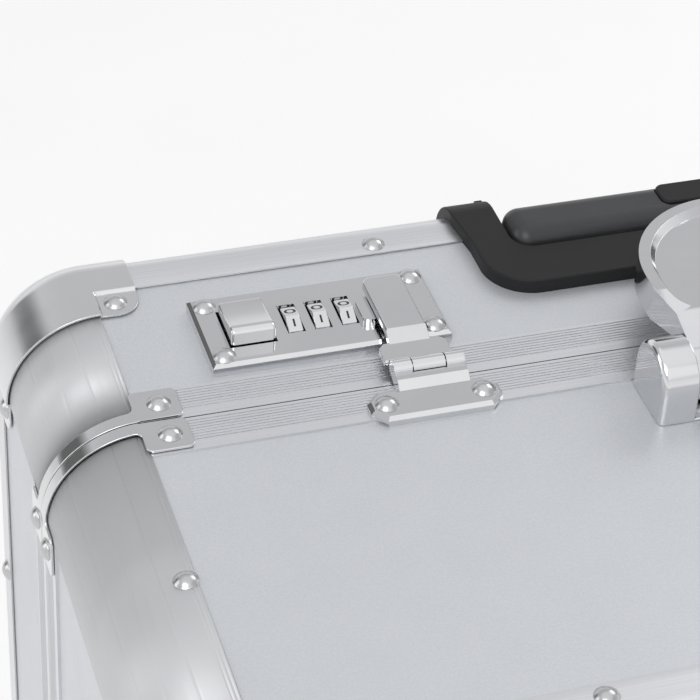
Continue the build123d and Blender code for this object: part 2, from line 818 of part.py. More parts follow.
def make_top_bottom_panel(half, sign):
    """The panel strip of a half's top (sign 1) or bottom (sign -1)."""
    side, full = HALVES[half]
    surface = Z_MID + sign * CASE_H / 2
    with BuildPart() as panel:
        box_between(
            (-CORNER_X, CORNER_X),
            (reach_y(side, FRAME_WEB), reach_y(side, full - EDGE_R)),
            (surface - sign * PANEL_IN, surface - sign * LIP_T),
        )
        drill_half(side, full)
        drill(edge_places(side, full))
        if side > 0 and sign > 0:
            bezel_well(0)
            lock_cavities(0)
        if side > 0 and sign < 0:
            wheel_wells(0)
    return panel.part


def make_side_panels(half):
    """The left and right panel strips of a half."""
    side, full = HALVES[half]
    with BuildPart() as panels:
        for sign in SIGNS:
            box_between(
                (sign * (CASE_W / 2 - PANEL_IN), sign * (CASE_W / 2 - LIP_T)),
                (reach_y(side, FRAME_WEB), reach_y(side, full - EDGE_R)),
                (Z_MID - CORNER_Z, Z_MID + CORNER_Z),
            )
        drill(bracket_places(side) + cap_places(side, full) + edge_places(side, full))
    return panels.part


def make_far_panel(half):
    """The big panel that closes a half: the case's back or its front."""
    side, full = HALVES[half]
    ys = sorted((reach_y(side, full - PANEL_IN), reach_y(side, full - LIP_T)))
    with BuildPart() as panel:
        with BuildSketch(Plane.XZ.offset(-ys[1])):
            with Locations((0, Z_MID)):
                RectangleRounded(CASE_W - 2 * EDGE_R, CASE_H - 2 * EDGE_R, SHELL_R - EDGE_R)
        extrude(amount=PANEL_T)
        drill(cap_places(side, full))
        if side > 0:
            bezel_well(0)
            wheel_wells(0)
    return panel.part


def make_lining(half):
    """The padded inner tray of a half."""
    side, full = HALVES[half]
    start = LINING_START[half]
    end = full - SKIN_T
    if side > 0:
        end = GRIP_REACH + TUBE_SHIFT - TUBE_W / 2 - TUBE_T - FIT_GAP
    outer = half_block(side, start, end, SKIN_T)
    inner = half_block(side, start - 1, end - LINING_T, SKIN_T + LINING_T)
    with BuildPart() as lining:
        add(outer)
        add(inner, mode=Mode.SUBTRACT)
        if side > 0:
            bezel_well(0.5)
            wheel_wells(0.5)
            lock_cavities(0.5)
    return lining.part


def make_seal():
    """The rubber seal in the lid's frame, which the back frame's rim presses on."""
    start = RIM_REACH + FIT_GAP
    with BuildPart() as seal:
        ring(-1, start, start + SEAL_T, RIM_DEPTH - RIM_GAP, FRAME_WEB_DEPTH)
    return seal.part


# Locks

DIAL_DROP = DIAL_R - DIAL_PROUD
DIAL_Z = LOCK_TOP - DIAL_DROP
DIAL_Y = reach_y(1, LOCK_REACH + DIAL_SHIFT)
WINDOW_W = 2 * (sqrt(DIAL_R**2 - (DIAL_DROP - LOCK_SKIN) ** 2) + FIT_GAP)
BUTTON_REACH = LOCK_REACH + BUTTON_Y
TONGUE_X = HASP_X + FINGER_X - FINGER_L / 2 + TONGUE_L / 2 + LOCK_SKIN
TONGUE_END = LOCK_REACH - LOCK_W / 2 + LOCK_SKIN + BOLT_W + TONGUE_W
NOTCH_GAP = 0.5


def make_lock_plates():
    """Riveted cover plates: bevelled, hollow below, with windows for the button and dials."""
    near = LOCK_REACH - LOCK_W / 2
    far = LOCK_REACH + LOCK_W / 2
    with BuildPart() as plates:
        for sign in SIGNS:
            x = sorted((lock_x(sign, -LOCK_L / 2), lock_x(sign, LOCK_L / 2)))
            box_between(x, (reach_y(1, near), reach_y(1, far)), (LOCK_LOW, LOCK_TOP))
        chamfer(plates.faces().sort_by(Axis.Z)[-2:].edges(), LOCK_BEVEL)
        for sign in SIGNS:
            inside = BUTTON_L / 2 + BUTTON_GAP - BUTTON_X
            box_between(
                (lock_x(sign, -inside), lock_x(sign, inside)),
                (reach_y(1, near + LOCK_SKIN), reach_y(1, far - LOCK_SKIN)),
                (LOCK_LOW, LOCK_TOP - LOCK_SKIN),
                mode=Mode.SUBTRACT,
            )
            with Locations((lock_x(sign, BUTTON_X), reach_y(1, BUTTON_REACH), LOCK_TOP)):
                Box(BUTTON_L + 2 * BUTTON_GAP, BUTTON_W + 2 * BUTTON_GAP, 2 * LOCK_T, mode=Mode.SUBTRACT)
            for index in range(DIAL_COUNT):
                with Locations((lock_x(sign, DIAL_X + index * DIAL_PITCH), DIAL_Y, LOCK_TOP)):
                    Box(WINDOW_L, WINDOW_W, 2 * LOCK_T, mode=Mode.SUBTRACT)
            notch = TONGUE_L / 2 + NOTCH_GAP
            box_between(
                (lock_x(sign, TONGUE_X - notch), lock_x(sign, TONGUE_X + notch)),
                (reach_y(1, near - 1), reach_y(1, TONGUE_END + 2 * NOTCH_GAP)),
                (LOCK_LOW, LOCK_TOP + LOCK_T),
                mode=Mode.SUBTRACT,
            )
            lug_x = HASP_X + FINGER_X - FINGER_L / 2 - LUG_L / 4
            with BuildSketch(Plane.XY.offset(LOCK_TOP - LOCK_SKIN)):
                with Locations((lock_x(sign, lug_x), reach_y(1, TONGUE_END + 2 * NOTCH_GAP + LUG_W / 2))):
                    RectangleRounded(LUG_L, LUG_W, LUG_L / 2 - FIT_GAP)
            extrude(amount=LUG_H + LOCK_SKIN)
        drill(lock_places(), LOCK_T)
    return plates.part


def make_lock_cases():
    """Pans below the plates, which carry the dials' spindle and guide the bolt."""
    low = Z_TOP - PANEL_IN - LOCK_CASE_H
    near = LOCK_REACH - LOCK_CASE_Y
    far = LOCK_REACH + LOCK_CASE_Y
    with BuildPart() as cases:
        for sign in SIGNS:
            x = sorted(lock_x(sign, step) for step in LOCK_CASE_X)
            box_between(x, (reach_y(1, near), reach_y(1, far)), (low, LOCK_LOW))
            box_between(
                (x[0] + LOCK_CASE_T, x[1] - LOCK_CASE_T),
                (reach_y(1, near + LOCK_CASE_T), reach_y(1, far - LOCK_CASE_T)),
                (low + LOCK_CASE_T, LOCK_LOW),
                mode=Mode.SUBTRACT,
            )
            box_between(
                (x[0] + LOCK_CASE_T, x[1] - LOCK_CASE_T),
                (reach_y(1, near + LOCK_CASE_T), reach_y(1, BUTTON_REACH - BUTTON_W / 2 - BUTTON_SHOE - FIT_GAP)),
                (LOCK_LOW - LOCK_CASE_T, LOCK_LOW),
            )
            # a web beside the button carries the spindle's outer end
            web = DIAL_X - WINDOW_L / 2 - LOCK_CASE_T
            box_between(
                (lock_x(sign, web), lock_x(sign, web + LOCK_CASE_T)),
                (DIAL_Y - 3 * SPINDLE_R, DIAL_Y + 3 * SPINDLE_R),
                (low, LOCK_LOW),
            )
            with Locations(Location((sign * LOCK_X, DIAL_Y, DIAL_Z), (0, 90, 0))):
                Cylinder(SPINDLE_R, LOCK_L, mode=Mode.SUBTRACT)
    return cases.part


def make_spindles():
    """The dials' spindles, held in the walls of the lock cases."""
    start = DIAL_X - WINDOW_L / 2 - LOCK_CASE_T
    end = LOCK_CASE_X[1]
    with BuildPart() as spindles:
        for sign in SIGNS:
            middle = lock_x(sign, (start + end) / 2)
            with Locations(Location((middle, DIAL_Y, DIAL_Z), (0, 90, 0))):
                Cylinder(SPINDLE_R, end - start)
    return spindles.part


def make_dial(sign, index):
    """One ten-sided dial wheel."""
    x = lock_x(sign, DIAL_X + index * DIAL_PITCH)
    with BuildPart() as dial:
        with BuildSketch(Plane.YZ.offset(x - DIAL_T / 2)):
            with Locations((DIAL_Y, DIAL_Z)):
                RegularPolygon(DIAL_R, DIAL_FACETS, rotation=90 - DIAL_TURN - 180 / DIAL_FACETS)
        extrude(amount=DIAL_T)
        rims = dial.edges().group_by(Axis.X)
        chamfer(rims[0] + rims[-1], FIT_GAP)
        with Locations(Location((x, DIAL_Y, DIAL_Z), (0, 90, 0))):
            Cylinder(SPINDLE_R + RUNNING_GAP, 2 * DIAL_T, mode=Mode.SUBTRACT)
    return dial.part


def make_button(sign):
    """The release button: a block with a hollowed top, a raised near edge and a shoe below."""
    y = reach_y(1, BUTTON_REACH)
    near = y - BUTTON_W / 2
    far = y + BUTTON_W / 2
    ridge = LOCK_TOP + BUTTON_H
    with BuildPart() as button:
        with BuildSketch(Plane.YZ.offset(lock_x(sign, BUTTON_X) - BUTTON_L / 2)):
            with BuildLine():
                Polyline(
                    (far, ridge - BUTTON_DIP),
                    (far, LOCK_LOW),
                    (near, LOCK_LOW),
                    (near, ridge - BUTTON_DIP),
                    (near + BUTTON_DIP, ridge),
                )
                ThreePointArc(
                    (near + BUTTON_DIP, ridge),
                    (y + BUTTON_DIP, ridge - BUTTON_DIP),
                    (far, ridge - BUTTON_DIP),
                )
            make_face()
        extrude(amount=BUTTON_L)
        high = button.edges().filter_by_position(Axis.Z, ridge - BUTTON_DIP - 0.01, ridge + 0.01)
        fillet(high.filter_by(GeomType.LINE).filter_by(Axis.Y, reverse=True), BUTTON_DIP / 4)
        shoe = LOCK_TOP - LOCK_SKIN - FIT_GAP
        with Locations((lock_x(sign, BUTTON_X), y, shoe)):
            Box(
                BUTTON_L,
                BUTTON_W + 2 * BUTTON_SHOE,
                shoe - LOCK_LOW + LOCK_T,
                align=(Align.CENTER, Align.CENTER, Align.MAX),
            )
    return button.part


def make_bolt(sign):
    """The sliding bolt, whose nose stands beside the hasp's tongue."""
    near = LOCK_REACH - LOCK_W / 2 + LOCK_SKIN + BOLT_START
    nose = TONGUE_X - TONGUE_L / 2 - BOLT_GAP
    with BuildPart() as bolt:
        box_between(
            (lock_x(sign, nose - BOLT_L), lock_x(sign, nose)),
            (reach_y(1, near), reach_y(1, near + BOLT_W)),
            (LOCK_LOW + FIT_GAP, LOCK_LOW + FIT_GAP + BOLT_T),
        )
    return bolt.part


# Hasps

HASP_AXIS = (reach_y(1, HASP_AXIS_REACH), Z_TOP + HASP_AXIS_H)


def knuckle(sign, start, end, radius, mode=Mode.ADD):
    """A cylinder round the hasp's axis, between two places along it."""
    x = [lock_x(sign, HASP_X + step) for step in (start, end)]
    with Locations(Location(((x[0] + x[1]) / 2, *HASP_AXIS), (0, 90, 0))):
        Cylinder(radius, abs(x[1] - x[0]), mode=mode)


def make_hasp_bases():
    """Riveted bases on the lid, each with a bevelled block and two knuckles."""
    half = KNUCKLE_L / 2
    middle = KNUCKLE_MID / 2 + FIT_GAP
    with BuildPart() as bases:
        for sign in SIGNS:
            with BuildSketch(Plane.XY.offset(Z_TOP)):
                spot = (lock_x(sign, HASP_X + BASE_X), reach_y(-1, (BASE_NEAR + BASE_FAR) / 2))
                with Locations(spot):
                    plate = Rectangle(BASE_L, BASE_NEAR - BASE_FAR)
                chamfer(plate.vertices(), BASE_CUT)
            extrude(amount=BASE_T)
        chamfer(bases.faces().sort_by(Axis.Z)[-2:].edges(), BASE_BEVEL)
        for sign in SIGNS:
            x = [lock_x(sign, HASP_X + BASE_X + end * (BASE_L / 2 - BASE_CUT)) for end in SIGNS]
            box_between(x, (reach_y(-1, FRAME_LIP), reach_y(-1, BASE_NEAR)), (Z_TOP - LIP_T, Z_TOP))
            with BuildSketch(Plane.YZ.offset(lock_x(sign, HASP_X) - half)):
                with BuildLine():
                    front = reach_y(-1, BASE_FAR + BLOCK_LAP)
                    Polyline(
                        (front, Z_TOP),
                        (front, Z_TOP + BASE_T),
                        (front + BLOCK_BEVEL, Z_TOP + BASE_T + BLOCK_BEVEL),
                        (reach_y(-1, 3 * HALF_GAP), Z_TOP + BASE_T + BLOCK_BEVEL),
                        HASP_AXIS,
                        (HASP_AXIS[0], HASP_AXIS[1] - KNUCKLE_R),
                        (reach_y(-1, 2 * HALF_GAP), HASP_AXIS[1] - KNUCKLE_R - BLOCK_UNDER),
                        (reach_y(-1, 2 * HALF_GAP), Z_TOP),
                        close=True,
                    )
                make_face()
            extrude(amount=KNUCKLE_L)
            knuckle(sign, -half, half, KNUCKLE_R)
            knuckle(sign, -middle, middle, KNUCKLE_R + FIT_GAP, mode=Mode.SUBTRACT)
            knuckle(sign, -KNUCKLE_L, KNUCKLE_L, HASP_PIN_R, mode=Mode.SUBTRACT)
        drill(hasp_places(), BASE_T)
    return bases.part


def make_hasp_pins():
    """Hinge pins through the hasps' knuckles."""
    with BuildPart() as pins:
        for sign in SIGNS:
            knuckle(sign, -KNUCKLE_L / 2, KNUCKLE_L / 2, HASP_PIN_R)
    return pins.part


def make_hasp(sign):
    """A hasp: knuckle, wing, raised finger with round corners, and a tongue below it."""
    wing_low = HASP_AXIS[1] - WING_SINK
    finger_low = LOCK_TOP + FINGER_GAP
    plate_edge = LOCK_REACH - LOCK_W / 2
    wing_start = HASP_AXIS_REACH + KNUCKLE_R + FIT_GAP
    finger_x = lock_x(sign, HASP_X + FINGER_X)
    with BuildPart() as hasp:
        with BuildSketch(Plane.XY.offset(wing_low)):
            with Locations((lock_x(sign, HASP_X + WING_X), reach_y(1, (wing_start + WING_REACH) / 2))):
                wing = Rectangle(WING_L, WING_REACH - wing_start)
            chamfer(wing.vertices().group_by(Axis.Y)[-1], WING_T)
        extrude(amount=WING_T)
        box_between(
            (lock_x(sign, HASP_X - KNUCKLE_MID / 2), lock_x(sign, HASP_X + KNUCKLE_MID / 2)),
            (HASP_AXIS[0], reach_y(1, wing_start + 1)),
            (wing_low, wing_low + WING_T),
        )
        knuckle(sign, -KNUCKLE_MID / 2, KNUCKLE_MID / 2, KNUCKLE_R)
        knuckle(sign, -KNUCKLE_L, KNUCKLE_L, HASP_PIN_R + RUNNING_GAP, mode=Mode.SUBTRACT)
        with BuildSketch(Plane.YZ.offset(finger_x - FINGER_L / 2)):
            with BuildLine():
                Polyline(
                    (reach_y(1, FINGER_REACH), finger_low),
                    (reach_y(1, FINGER_REACH), finger_low + FINGER_T),
                    (reach_y(1, plate_edge - FIT_GAP), finger_low + FINGER_T),
                    (reach_y(1, WING_REACH - 2 * FIT_GAP), wing_low + WING_T),
                    (reach_y(1, WING_REACH - 2 * WING_T), wing_low + WING_T),
                    (reach_y(1, WING_REACH - 2 * WING_T), wing_low),
                    (reach_y(1, WING_REACH + FIT_GAP), wing_low),
                    (reach_y(1, plate_edge), finger_low),
                    close=True,
                )
            make_face()
        extrude(amount=FINGER_L)
        tips = hasp.edges().filter_by(Axis.Z).group_by(Axis.Y)[-1]
        fillet(tips, FINGER_R)
        box_between(
            (lock_x(sign, TONGUE_X - TONGUE_L / 2), lock_x(sign, TONGUE_X + TONGUE_L / 2)),
            (reach_y(1, TONGUE_END - TONGUE_W), reach_y(1, TONGUE_END)),
            (Z_TOP + NOTCH_GAP, finger_low),
        )
        rim = hasp.faces().sort_by(Axis.Z)[-1].edges()
        fillet(rim, FINGER_EASE)
    return hasp.part


# Carry handle

HANDLE_AXIS = (reach_y(-1, HANDLE_AXIS_REACH), Z_TOP + HANDLE_AXIS_H)
HANDLE_LOW = Z_TOP + HANDLE_H
HANDLE_TOP = HANDLE_LOW + HANDLE_T


def make_handle():
    """The folding handle: two arms with knuckles, and a wide dished grip."""
    far = reach_y(1, HANDLE_FAR)
    near = HANDLE_AXIS[0] - HANDLE_KNUCKLE_R
    hole_far = reach_y(1, HANDLE_HOLE_FAR)
    bend = HANDLE_AXIS[0] + EAR_R + FIT_GAP
    with BuildPart() as handle:
        # side view: the knuckle, the rising arm and the flat grip
        with BuildSketch(Plane.YZ.offset(-HANDLE_X)):
            with Locations(HANDLE_AXIS):
                Circle(HANDLE_KNUCKLE_R)
            with BuildLine():
                Polyline(
                    (HANDLE_AXIS[0], HANDLE_AXIS[1] + HANDLE_KNUCKLE_R),
                    (bend + HANDLE_SHOULDER, HANDLE_TOP),
                    (far, HANDLE_TOP),
                    (far, HANDLE_LOW),
                    (bend, HANDLE_LOW),
                    (HANDLE_AXIS[0] + HANDLE_KNUCKLE_R / 2, HANDLE_AXIS[1] - HANDLE_KNUCKLE_R / 2),
                    HANDLE_AXIS,
                    close=True,
                )
            make_face()
        extrude(amount=2 * HANDLE_X)
        # plan view: round far corners and the opening for the fingers
        with BuildSketch(Plane.XY.offset(Z_TOP)) as plan:
            with Locations((0, (near + far) / 2)):
                outline = Rectangle(2 * HANDLE_X, far - near)
            fillet(outline.vertices().group_by(Axis.Y)[-1], HANDLE_R)
        extrude(amount=2 * HANDLE_TOP - 2 * Z_TOP, mode=Mode.INTERSECT)
        with BuildSketch(Plane.XY.offset(Z_TOP)) as hole:
            with Locations((0, (near - 1 + hole_far) / 2)):
                opening = Rectangle(2 * HANDLE_HOLE_X, hole_far - near + 1)
            fillet(opening.vertices().group_by(Axis.Y)[-1], HANDLE_HOLE_R)
        extrude(amount=2 * HANDLE_TOP - 2 * Z_TOP, mode=Mode.SUBTRACT)
        inner = HANDLE_KNUCKLE_X - HANDLE_ARM
        box_between((-inner, inner), (near - 1, bend), (Z_TOP, 2 * HANDLE_TOP - Z_TOP), mode=Mode.SUBTRACT)
        # the arms draw in to their knuckles
        with BuildSketch(Plane.XY.offset(Z_TOP - HANDLE_TOP)):
            for sign in SIGNS:
                with BuildLine():
                    Polyline(
                        (sign * HANDLE_KNUCKLE_X, near - 1),
                        (sign * HANDLE_KNUCKLE_X, bend),
                        (sign * HANDLE_X, bend + HANDLE_SHOULDER),
                        (sign * 2 * HANDLE_X, bend + HANDLE_SHOULDER),
                        (sign * 2 * HANDLE_X, near - 1),
                        close=True,
                    )
                make_face()
        extrude(amount=2 * HANDLE_TOP, mode=Mode.SUBTRACT)
        # a shallow dish in the grip's top
        dish_near = reach_y(1, HANDLE_DISH_NEAR)
        dish_far = far - HANDLE_FAR_RIM
        with BuildSketch(Plane.XY.offset(HANDLE_TOP)) as dish:
            with Locations((0, (dish_near + dish_far) / 2)):
                Rectangle(2 * (HANDLE_X - HANDLE_RIM), dish_far - dish_near)
            fillet(dish.vertices().group_by(Axis.Y)[-1], HANDLE_R - HANDLE_FAR_RIM)
            fillet(dish.vertices().group_by(Axis.Y)[0], HANDLE_DISH_R)
        extrude(amount=-HANDLE_DISH, taper=HANDLE_TAPER, mode=Mode.SUBTRACT)
        with Locations(Location((0, *HANDLE_AXIS), (0, 90, 0))):
            Cylinder(HANDLE_PIN_R + RUNNING_GAP, 3 * HANDLE_X, mode=Mode.SUBTRACT)
    return handle.part


def make_handle_brackets():
    """Clevis brackets: a base plate, a broad arched outer ear and a thinner inner ear."""
    y = HANDLE_AXIS[0]
    ears = (
        (HANDLE_KNUCKLE_X + FIT_GAP, EAR_T),
        (HANDLE_KNUCKLE_X - HANDLE_ARM - FIT_GAP - EAR_IN_T, EAR_IN_T),
    )
    base = (ears[1][0], HANDLE_KNUCKLE_X + FIT_GAP + EAR_T)
    low = Z_TOP - LIP_T
    with BuildPart() as brackets:
        for sign in SIGNS:
            box_between(
                (sign * base[0], sign * base[1]), (y - EAR_R, y + EAR_R), (low, low + BRACKET_BASE_T)
            )
            for start, thick in ears:
                with BuildSketch(Plane.YZ.offset(sign * start)):
                    with Locations(HANDLE_AXIS):
                        Circle(EAR_R)
                    with Locations((y, (low + HANDLE_AXIS[1]) / 2)):
                        Rectangle(2 * EAR_R, HANDLE_AXIS[1] - low)
                extrude(amount=sign * thick)
        box_between((-CASE_W, CASE_W), (y - 2 * EAR_R, y + 2 * EAR_R), (low - EAR_R, low), mode=Mode.SUBTRACT)
        ends = brackets.faces().filter_by(Axis.X).sort_by(Axis.X)
        for face in (ends[0], ends[-1]):
            arch = face.edges().filter_by_position(Axis.Z, low + FIT_GAP, HANDLE_TOP + EAR_R)
            fillet(arch, EAR_EASE)
        for sign in SIGNS:
            depth = HANDLE_KNUCKLE_X + FIT_GAP + EAR_T - PIN_COVER
            x = sorted((sign * (base[0] - 1), sign * depth))
            with Locations(Location(((x[0] + x[1]) / 2, *HANDLE_AXIS), (0, 90, 0))):
                Cylinder(HANDLE_PIN_R, x[1] - x[0], mode=Mode.SUBTRACT)
    return brackets.part


def make_handle_pins():
    """Pins that the handle turns on, held in the brackets' ears."""
    start = HANDLE_KNUCKLE_X - HANDLE_ARM - FIT_GAP - EAR_IN_T
    end = HANDLE_KNUCKLE_X + FIT_GAP + EAR_T - PIN_COVER
    with BuildPart() as pins:
        for sign in SIGNS:
            with Locations(Location((sign * (start + end) / 2, *HANDLE_AXIS), (0, 90, 0))):
                Cylinder(HANDLE_PIN_R, end - start)
    return pins.part


# Telescopic handle

def wrap_section(place, start, drop, top_t, far_t):
    """The section of a cover that wraps over the back half's long far edge."""
    bend = BACK_REACH - EDGE_R
    slant = sin(radians(45))
    Polyline(
        place(bend, 0),
        place(bend - EDGE_LIP, 0),
        place(bend - EDGE_LIP, LIP_T),
        place(start, LIP_T),
        place(start, -top_t),
        place(bend, -top_t),
    )
    ThreePointArc(
        place(bend, -top_t),
        place(bend + (EDGE_R + far_t) * slant, EDGE_R - (EDGE_R + top_t) * slant),
        place(BACK_REACH + far_t, EDGE_R),
    )
    Polyline(
        place(BACK_REACH + far_t, EDGE_R),
        place(BACK_REACH + far_t, drop),
        place(BACK_REACH - LIP_T, drop),
        place(BACK_REACH - LIP_T, EDGE_R + EDGE_LIP),
        place(BACK_REACH, EDGE_R + EDGE_LIP),
        place(BACK_REACH, EDGE_R),
    )
    ThreePointArc(
        place(BACK_REACH, EDGE_R),
        place(bend + EDGE_R * slant, EDGE_R - EDGE_R * slant),
        place(bend, 0),
    )


TUBE_Y = reach_y(1, GRIP_REACH + TUBE_SHIFT)
WELL_FLOOR = Z_TOP - WELL_DEPTH
TUBE_LOW = GROUND_GAP + SKIN_T + TUBE_FOOT_H


def tube_sketch(level, grow=0.0):
    """The outside of the tubes at a telescope level: 0 the widest, 2 the narrowest."""
    inset = level * (TUBE_T + TUBE_GAP) - grow
    for sign in SIGNS:
        with Locations((sign * TUBE_X, TUBE_Y)):
            RectangleRounded(TUBE_L - 2 * inset, TUBE_W - 2 * inset, max(TUBE_R - inset, TUBE_T / 2))


def make_bezel():
    """The moulded housing round the grip: a band over the top edge and a well below it."""
    half = BEZEL_L / 2
    arm = half - BEZEL_FLARE
    near = reach_y(1, BEZEL_NEAR)
    far = reach_y(1, BACK_REACH + BEZEL_PROUD)
    with BuildPart() as bezel:
        with BuildSketch(Plane.YZ.offset(-half)):
            with BuildLine():
                wrap_section(
                    lambda reach, depth: (reach_y(1, reach), Z_TOP - depth),
                    BEZEL_NEAR, BEZEL_DROP, BEZEL_H, BEZEL_PROUD,
                )
            make_face()
        extrude(amount=BEZEL_L)
        with BuildSketch(Plane.XY.offset(Z_TOP - CASE_H / 2)) as plan:
            with BuildLine():
                outline = Polyline(
                    (-half, far), (-half, reach_y(1, BACK_REACH - EDGE_R)), (-arm, reach_y(1, WELL_NEAR + WELL_R)),
                    (-arm, near), (arm, near), (arm, reach_y(1, WELL_NEAR + WELL_R)),
                    (half, reach_y(1, BACK_REACH - EDGE_R)), (half, far), close=True,
                )
            make_face()
            fillet(plan.vertices().group_by(Axis.Y)[0], BEZEL_R)
            fillet(plan.vertices().filter_by_position(Axis.Y, near + BEZEL_R + 1, far - 1), BEZEL_R)
        extrude(amount=CASE_H, mode=Mode.INTERSECT)
        top_rim = bezel.faces().filter_by(Axis.Z).sort_by(Axis.Z)[-1].edges()
        fillet(top_rim.filter_by_position(Axis.Y, near - 1, reach_y(1, BACK_REACH - EDGE_R) - 0.1), BEZEL_EASE)
        box_between(
            (-WELL_L / 2 - WELL_T, WELL_L / 2 + WELL_T),
            (reach_y(1, WELL_NEAR - WELL_T), reach_y(1, BACK_REACH)),
            (WELL_FLOOR - WELL_T, Z_TOP),
        )
        with BuildSketch(Plane.XY.offset(WELL_FLOOR)) as well:
            with Locations((0, reach_y(1, (WELL_NEAR + BACK_REACH + EDGE_R) / 2))):
                space = Rectangle(WELL_L, BACK_REACH + EDGE_R - WELL_NEAR)
            fillet(space.vertices().group_by(Axis.Y)[0], WELL_R)
        extrude(amount=2 * WELL_DEPTH, mode=Mode.SUBTRACT)
        with BuildSketch(Plane.XY.offset(WELL_FLOOR)) as holes:
            tube_sketch(1, TUBE_GAP)
        extrude(amount=-2 * WELL_T, mode=Mode.SUBTRACT)
    return bezel.part


def make_tubes(level, low, high):
    """A pair of telescope tubes of one level."""
    with BuildPart() as tubes:
        with BuildSketch(Plane.XY.offset(low)):
            tube_sketch(level)
            inset = (level + 1) * TUBE_T + level * TUBE_GAP
            for sign in SIGNS:
                with Locations((sign * TUBE_X, TUBE_Y)):
                    RectangleRounded(
                        TUBE_L - 2 * inset, TUBE_W - 2 * inset, max(TUBE_R - inset, TUBE_T / 3), mode=Mode.SUBTRACT
                    )
        extrude(amount=high - low)
    return tubes.part


def make_tube_feet():
    """Blocks at the bottom of the case that the outer tubes stand on."""
    with BuildPart() as feet:
        with BuildSketch(Plane.XY.offset(GROUND_GAP + SKIN_T)):
            tube_sketch(0, TUBE_T)
        extrude(amount=TUBE_FOOT_H)
    return feet.part


GRIP_Y = reach_y(1, GRIP_REACH)
GRIP_HIGH = Z_TOP + GRIP_TOP
PUSH_Y = GRIP_Y + PUSH_SHIFT


def make_grip():
    """The moulded grip bar, with a pocket for its push-button."""
    with BuildPart() as grip:
        with BuildSketch(Plane.YZ.offset(-GRIP_L / 2)):
            with Locations((GRIP_Y, GRIP_HIGH - GRIP_T / 2)):
                RectangleRounded(GRIP_W, GRIP_T, GRIP_R)
        extrude(amount=GRIP_L)
        ends = grip.faces().filter_by(Axis.X)
        fillet(ends.edges(), GRIP_END_R)
        pocket = PUSH_H + PUSH_TRAVEL + FIT_GAP
        with BuildSketch(Plane.XY.offset(GRIP_HIGH + FIT_GAP)):
            with Locations((0, PUSH_Y)):
                RectangleRounded(PUSH_L + 2 * FIT_GAP, PUSH_W + 2 * FIT_GAP, PUSH_R + FIT_GAP)
        extrude(amount=-pocket, mode=Mode.SUBTRACT)
    return grip.part


def make_push_button():
    """The release button in the grip's top."""
    with BuildPart() as push:
        with BuildSketch(Plane.XY.offset(GRIP_HIGH + PUSH_PROUD - PUSH_H)):
            with Locations((0, PUSH_Y)):
                RectangleRounded(PUSH_L, PUSH_W, PUSH_R)
        extrude(amount=PUSH_H)
        fillet(push.faces().sort_by(Axis.Z)[-1].edges(), PUSH_PROUD)
    return push.part


# Wheels, feet and bottom hinges

def make_wheel_housings():
    """Moulded wheel boxes with flanges that wrap over the bottom back edge."""
    with BuildPart() as housings:
        for sign in SIGNS:
            wide = HOUSING_X + HOUSING_FLANGE
            with BuildSketch(Plane.YZ.offset(sign * WHEEL_X - wide)):
                with BuildLine():
                    wrap_section(
                        lambda reach, depth: (reach_y(1, reach), GROUND_GAP + depth),
                        HOUSING_FRONT - HOUSING_FLANGE - SPLIT_Y, HOUSING_TOP + HOUSING_FLANGE - GROUND_GAP,
                        HOUSING_FLANGE_T, HOUSING_FLANGE_T,
                    )
                make_face()
            extrude(amount=2 * wide)
            with BuildSketch(Plane.YZ.offset(sign * WHEEL_X - HOUSING_X)):
                with Locations((WHEEL_Y, WHEEL_R)):
                    Circle(ARCH_R + HOUSING_T)
                block_far = reach_y(1, BACK_REACH)
                with Locations(((HOUSING_FRONT + block_far) / 2, (GROUND_GAP + WHEEL_R) / 2)):
                    Rectangle(block_far - HOUSING_FRONT, WHEEL_R - GROUND_GAP)
                with Locations(((WHEEL_Y + block_far) / 2, (GROUND_GAP + HOUSING_TOP) / 2)):
                    Rectangle(block_far - WHEEL_Y, HOUSING_TOP - GROUND_GAP)
            extrude(amount=2 * HOUSING_X)
            with BuildSketch(Plane.YZ.offset(sign * WHEEL_X - HOUSING_X + HOUSING_T)):
                with Locations((WHEEL_Y, WHEEL_R)):
                    Circle(ARCH_R)
                with Locations((WHEEL_Y - ARCH_R, WHEEL_R)):
                    Rectangle(4 * ARCH_R, 2 * ARCH_R, align=(Align.MIN, Align.MAX))
                with Locations((WHEEL_Y, WHEEL_R)):
                    Rectangle(2 * ARCH_R, ARCH_R, align=Align.MIN)
            extrude(amount=2 * (HOUSING_X - HOUSING_T), mode=Mode.SUBTRACT)
            box_between(
                (sign * WHEEL_X - 2 * HOUSING_X, sign * WHEEL_X + 2 * HOUSING_X),
                (HOUSING_FRONT - 2 * HOUSING_FLANGE, reach_y(1, BACK_REACH) + EDGE_R),
                (-GROUND_GAP, GROUND_GAP - HOUSING_FLANGE_T),
                mode=Mode.SUBTRACT,
            )
        flange_y = reach_y(1, BACK_REACH + HOUSING_FLANGE_T)
        box_between((-CASE_W, CASE_W), (flange_y, flange_y + ARCH_R), (0, CASE_H), mode=Mode.SUBTRACT)
        with Locations(Location((0, WHEEL_Y, WHEEL_R), (0, 90, 0))):
            Cylinder(AXLE_R, CASE_W, mode=Mode.SUBTRACT)
    return housings.part


def make_axles():
    """Wheel axles, held in the housings' side walls."""
    with BuildPart() as axles:
        for sign in SIGNS:
            with Locations(Location((sign * WHEEL_X, WHEEL_Y, WHEEL_R), (0, 90, 0))):
                Cylinder(AXLE_R, 2 * HOUSING_X)
    return axles.part


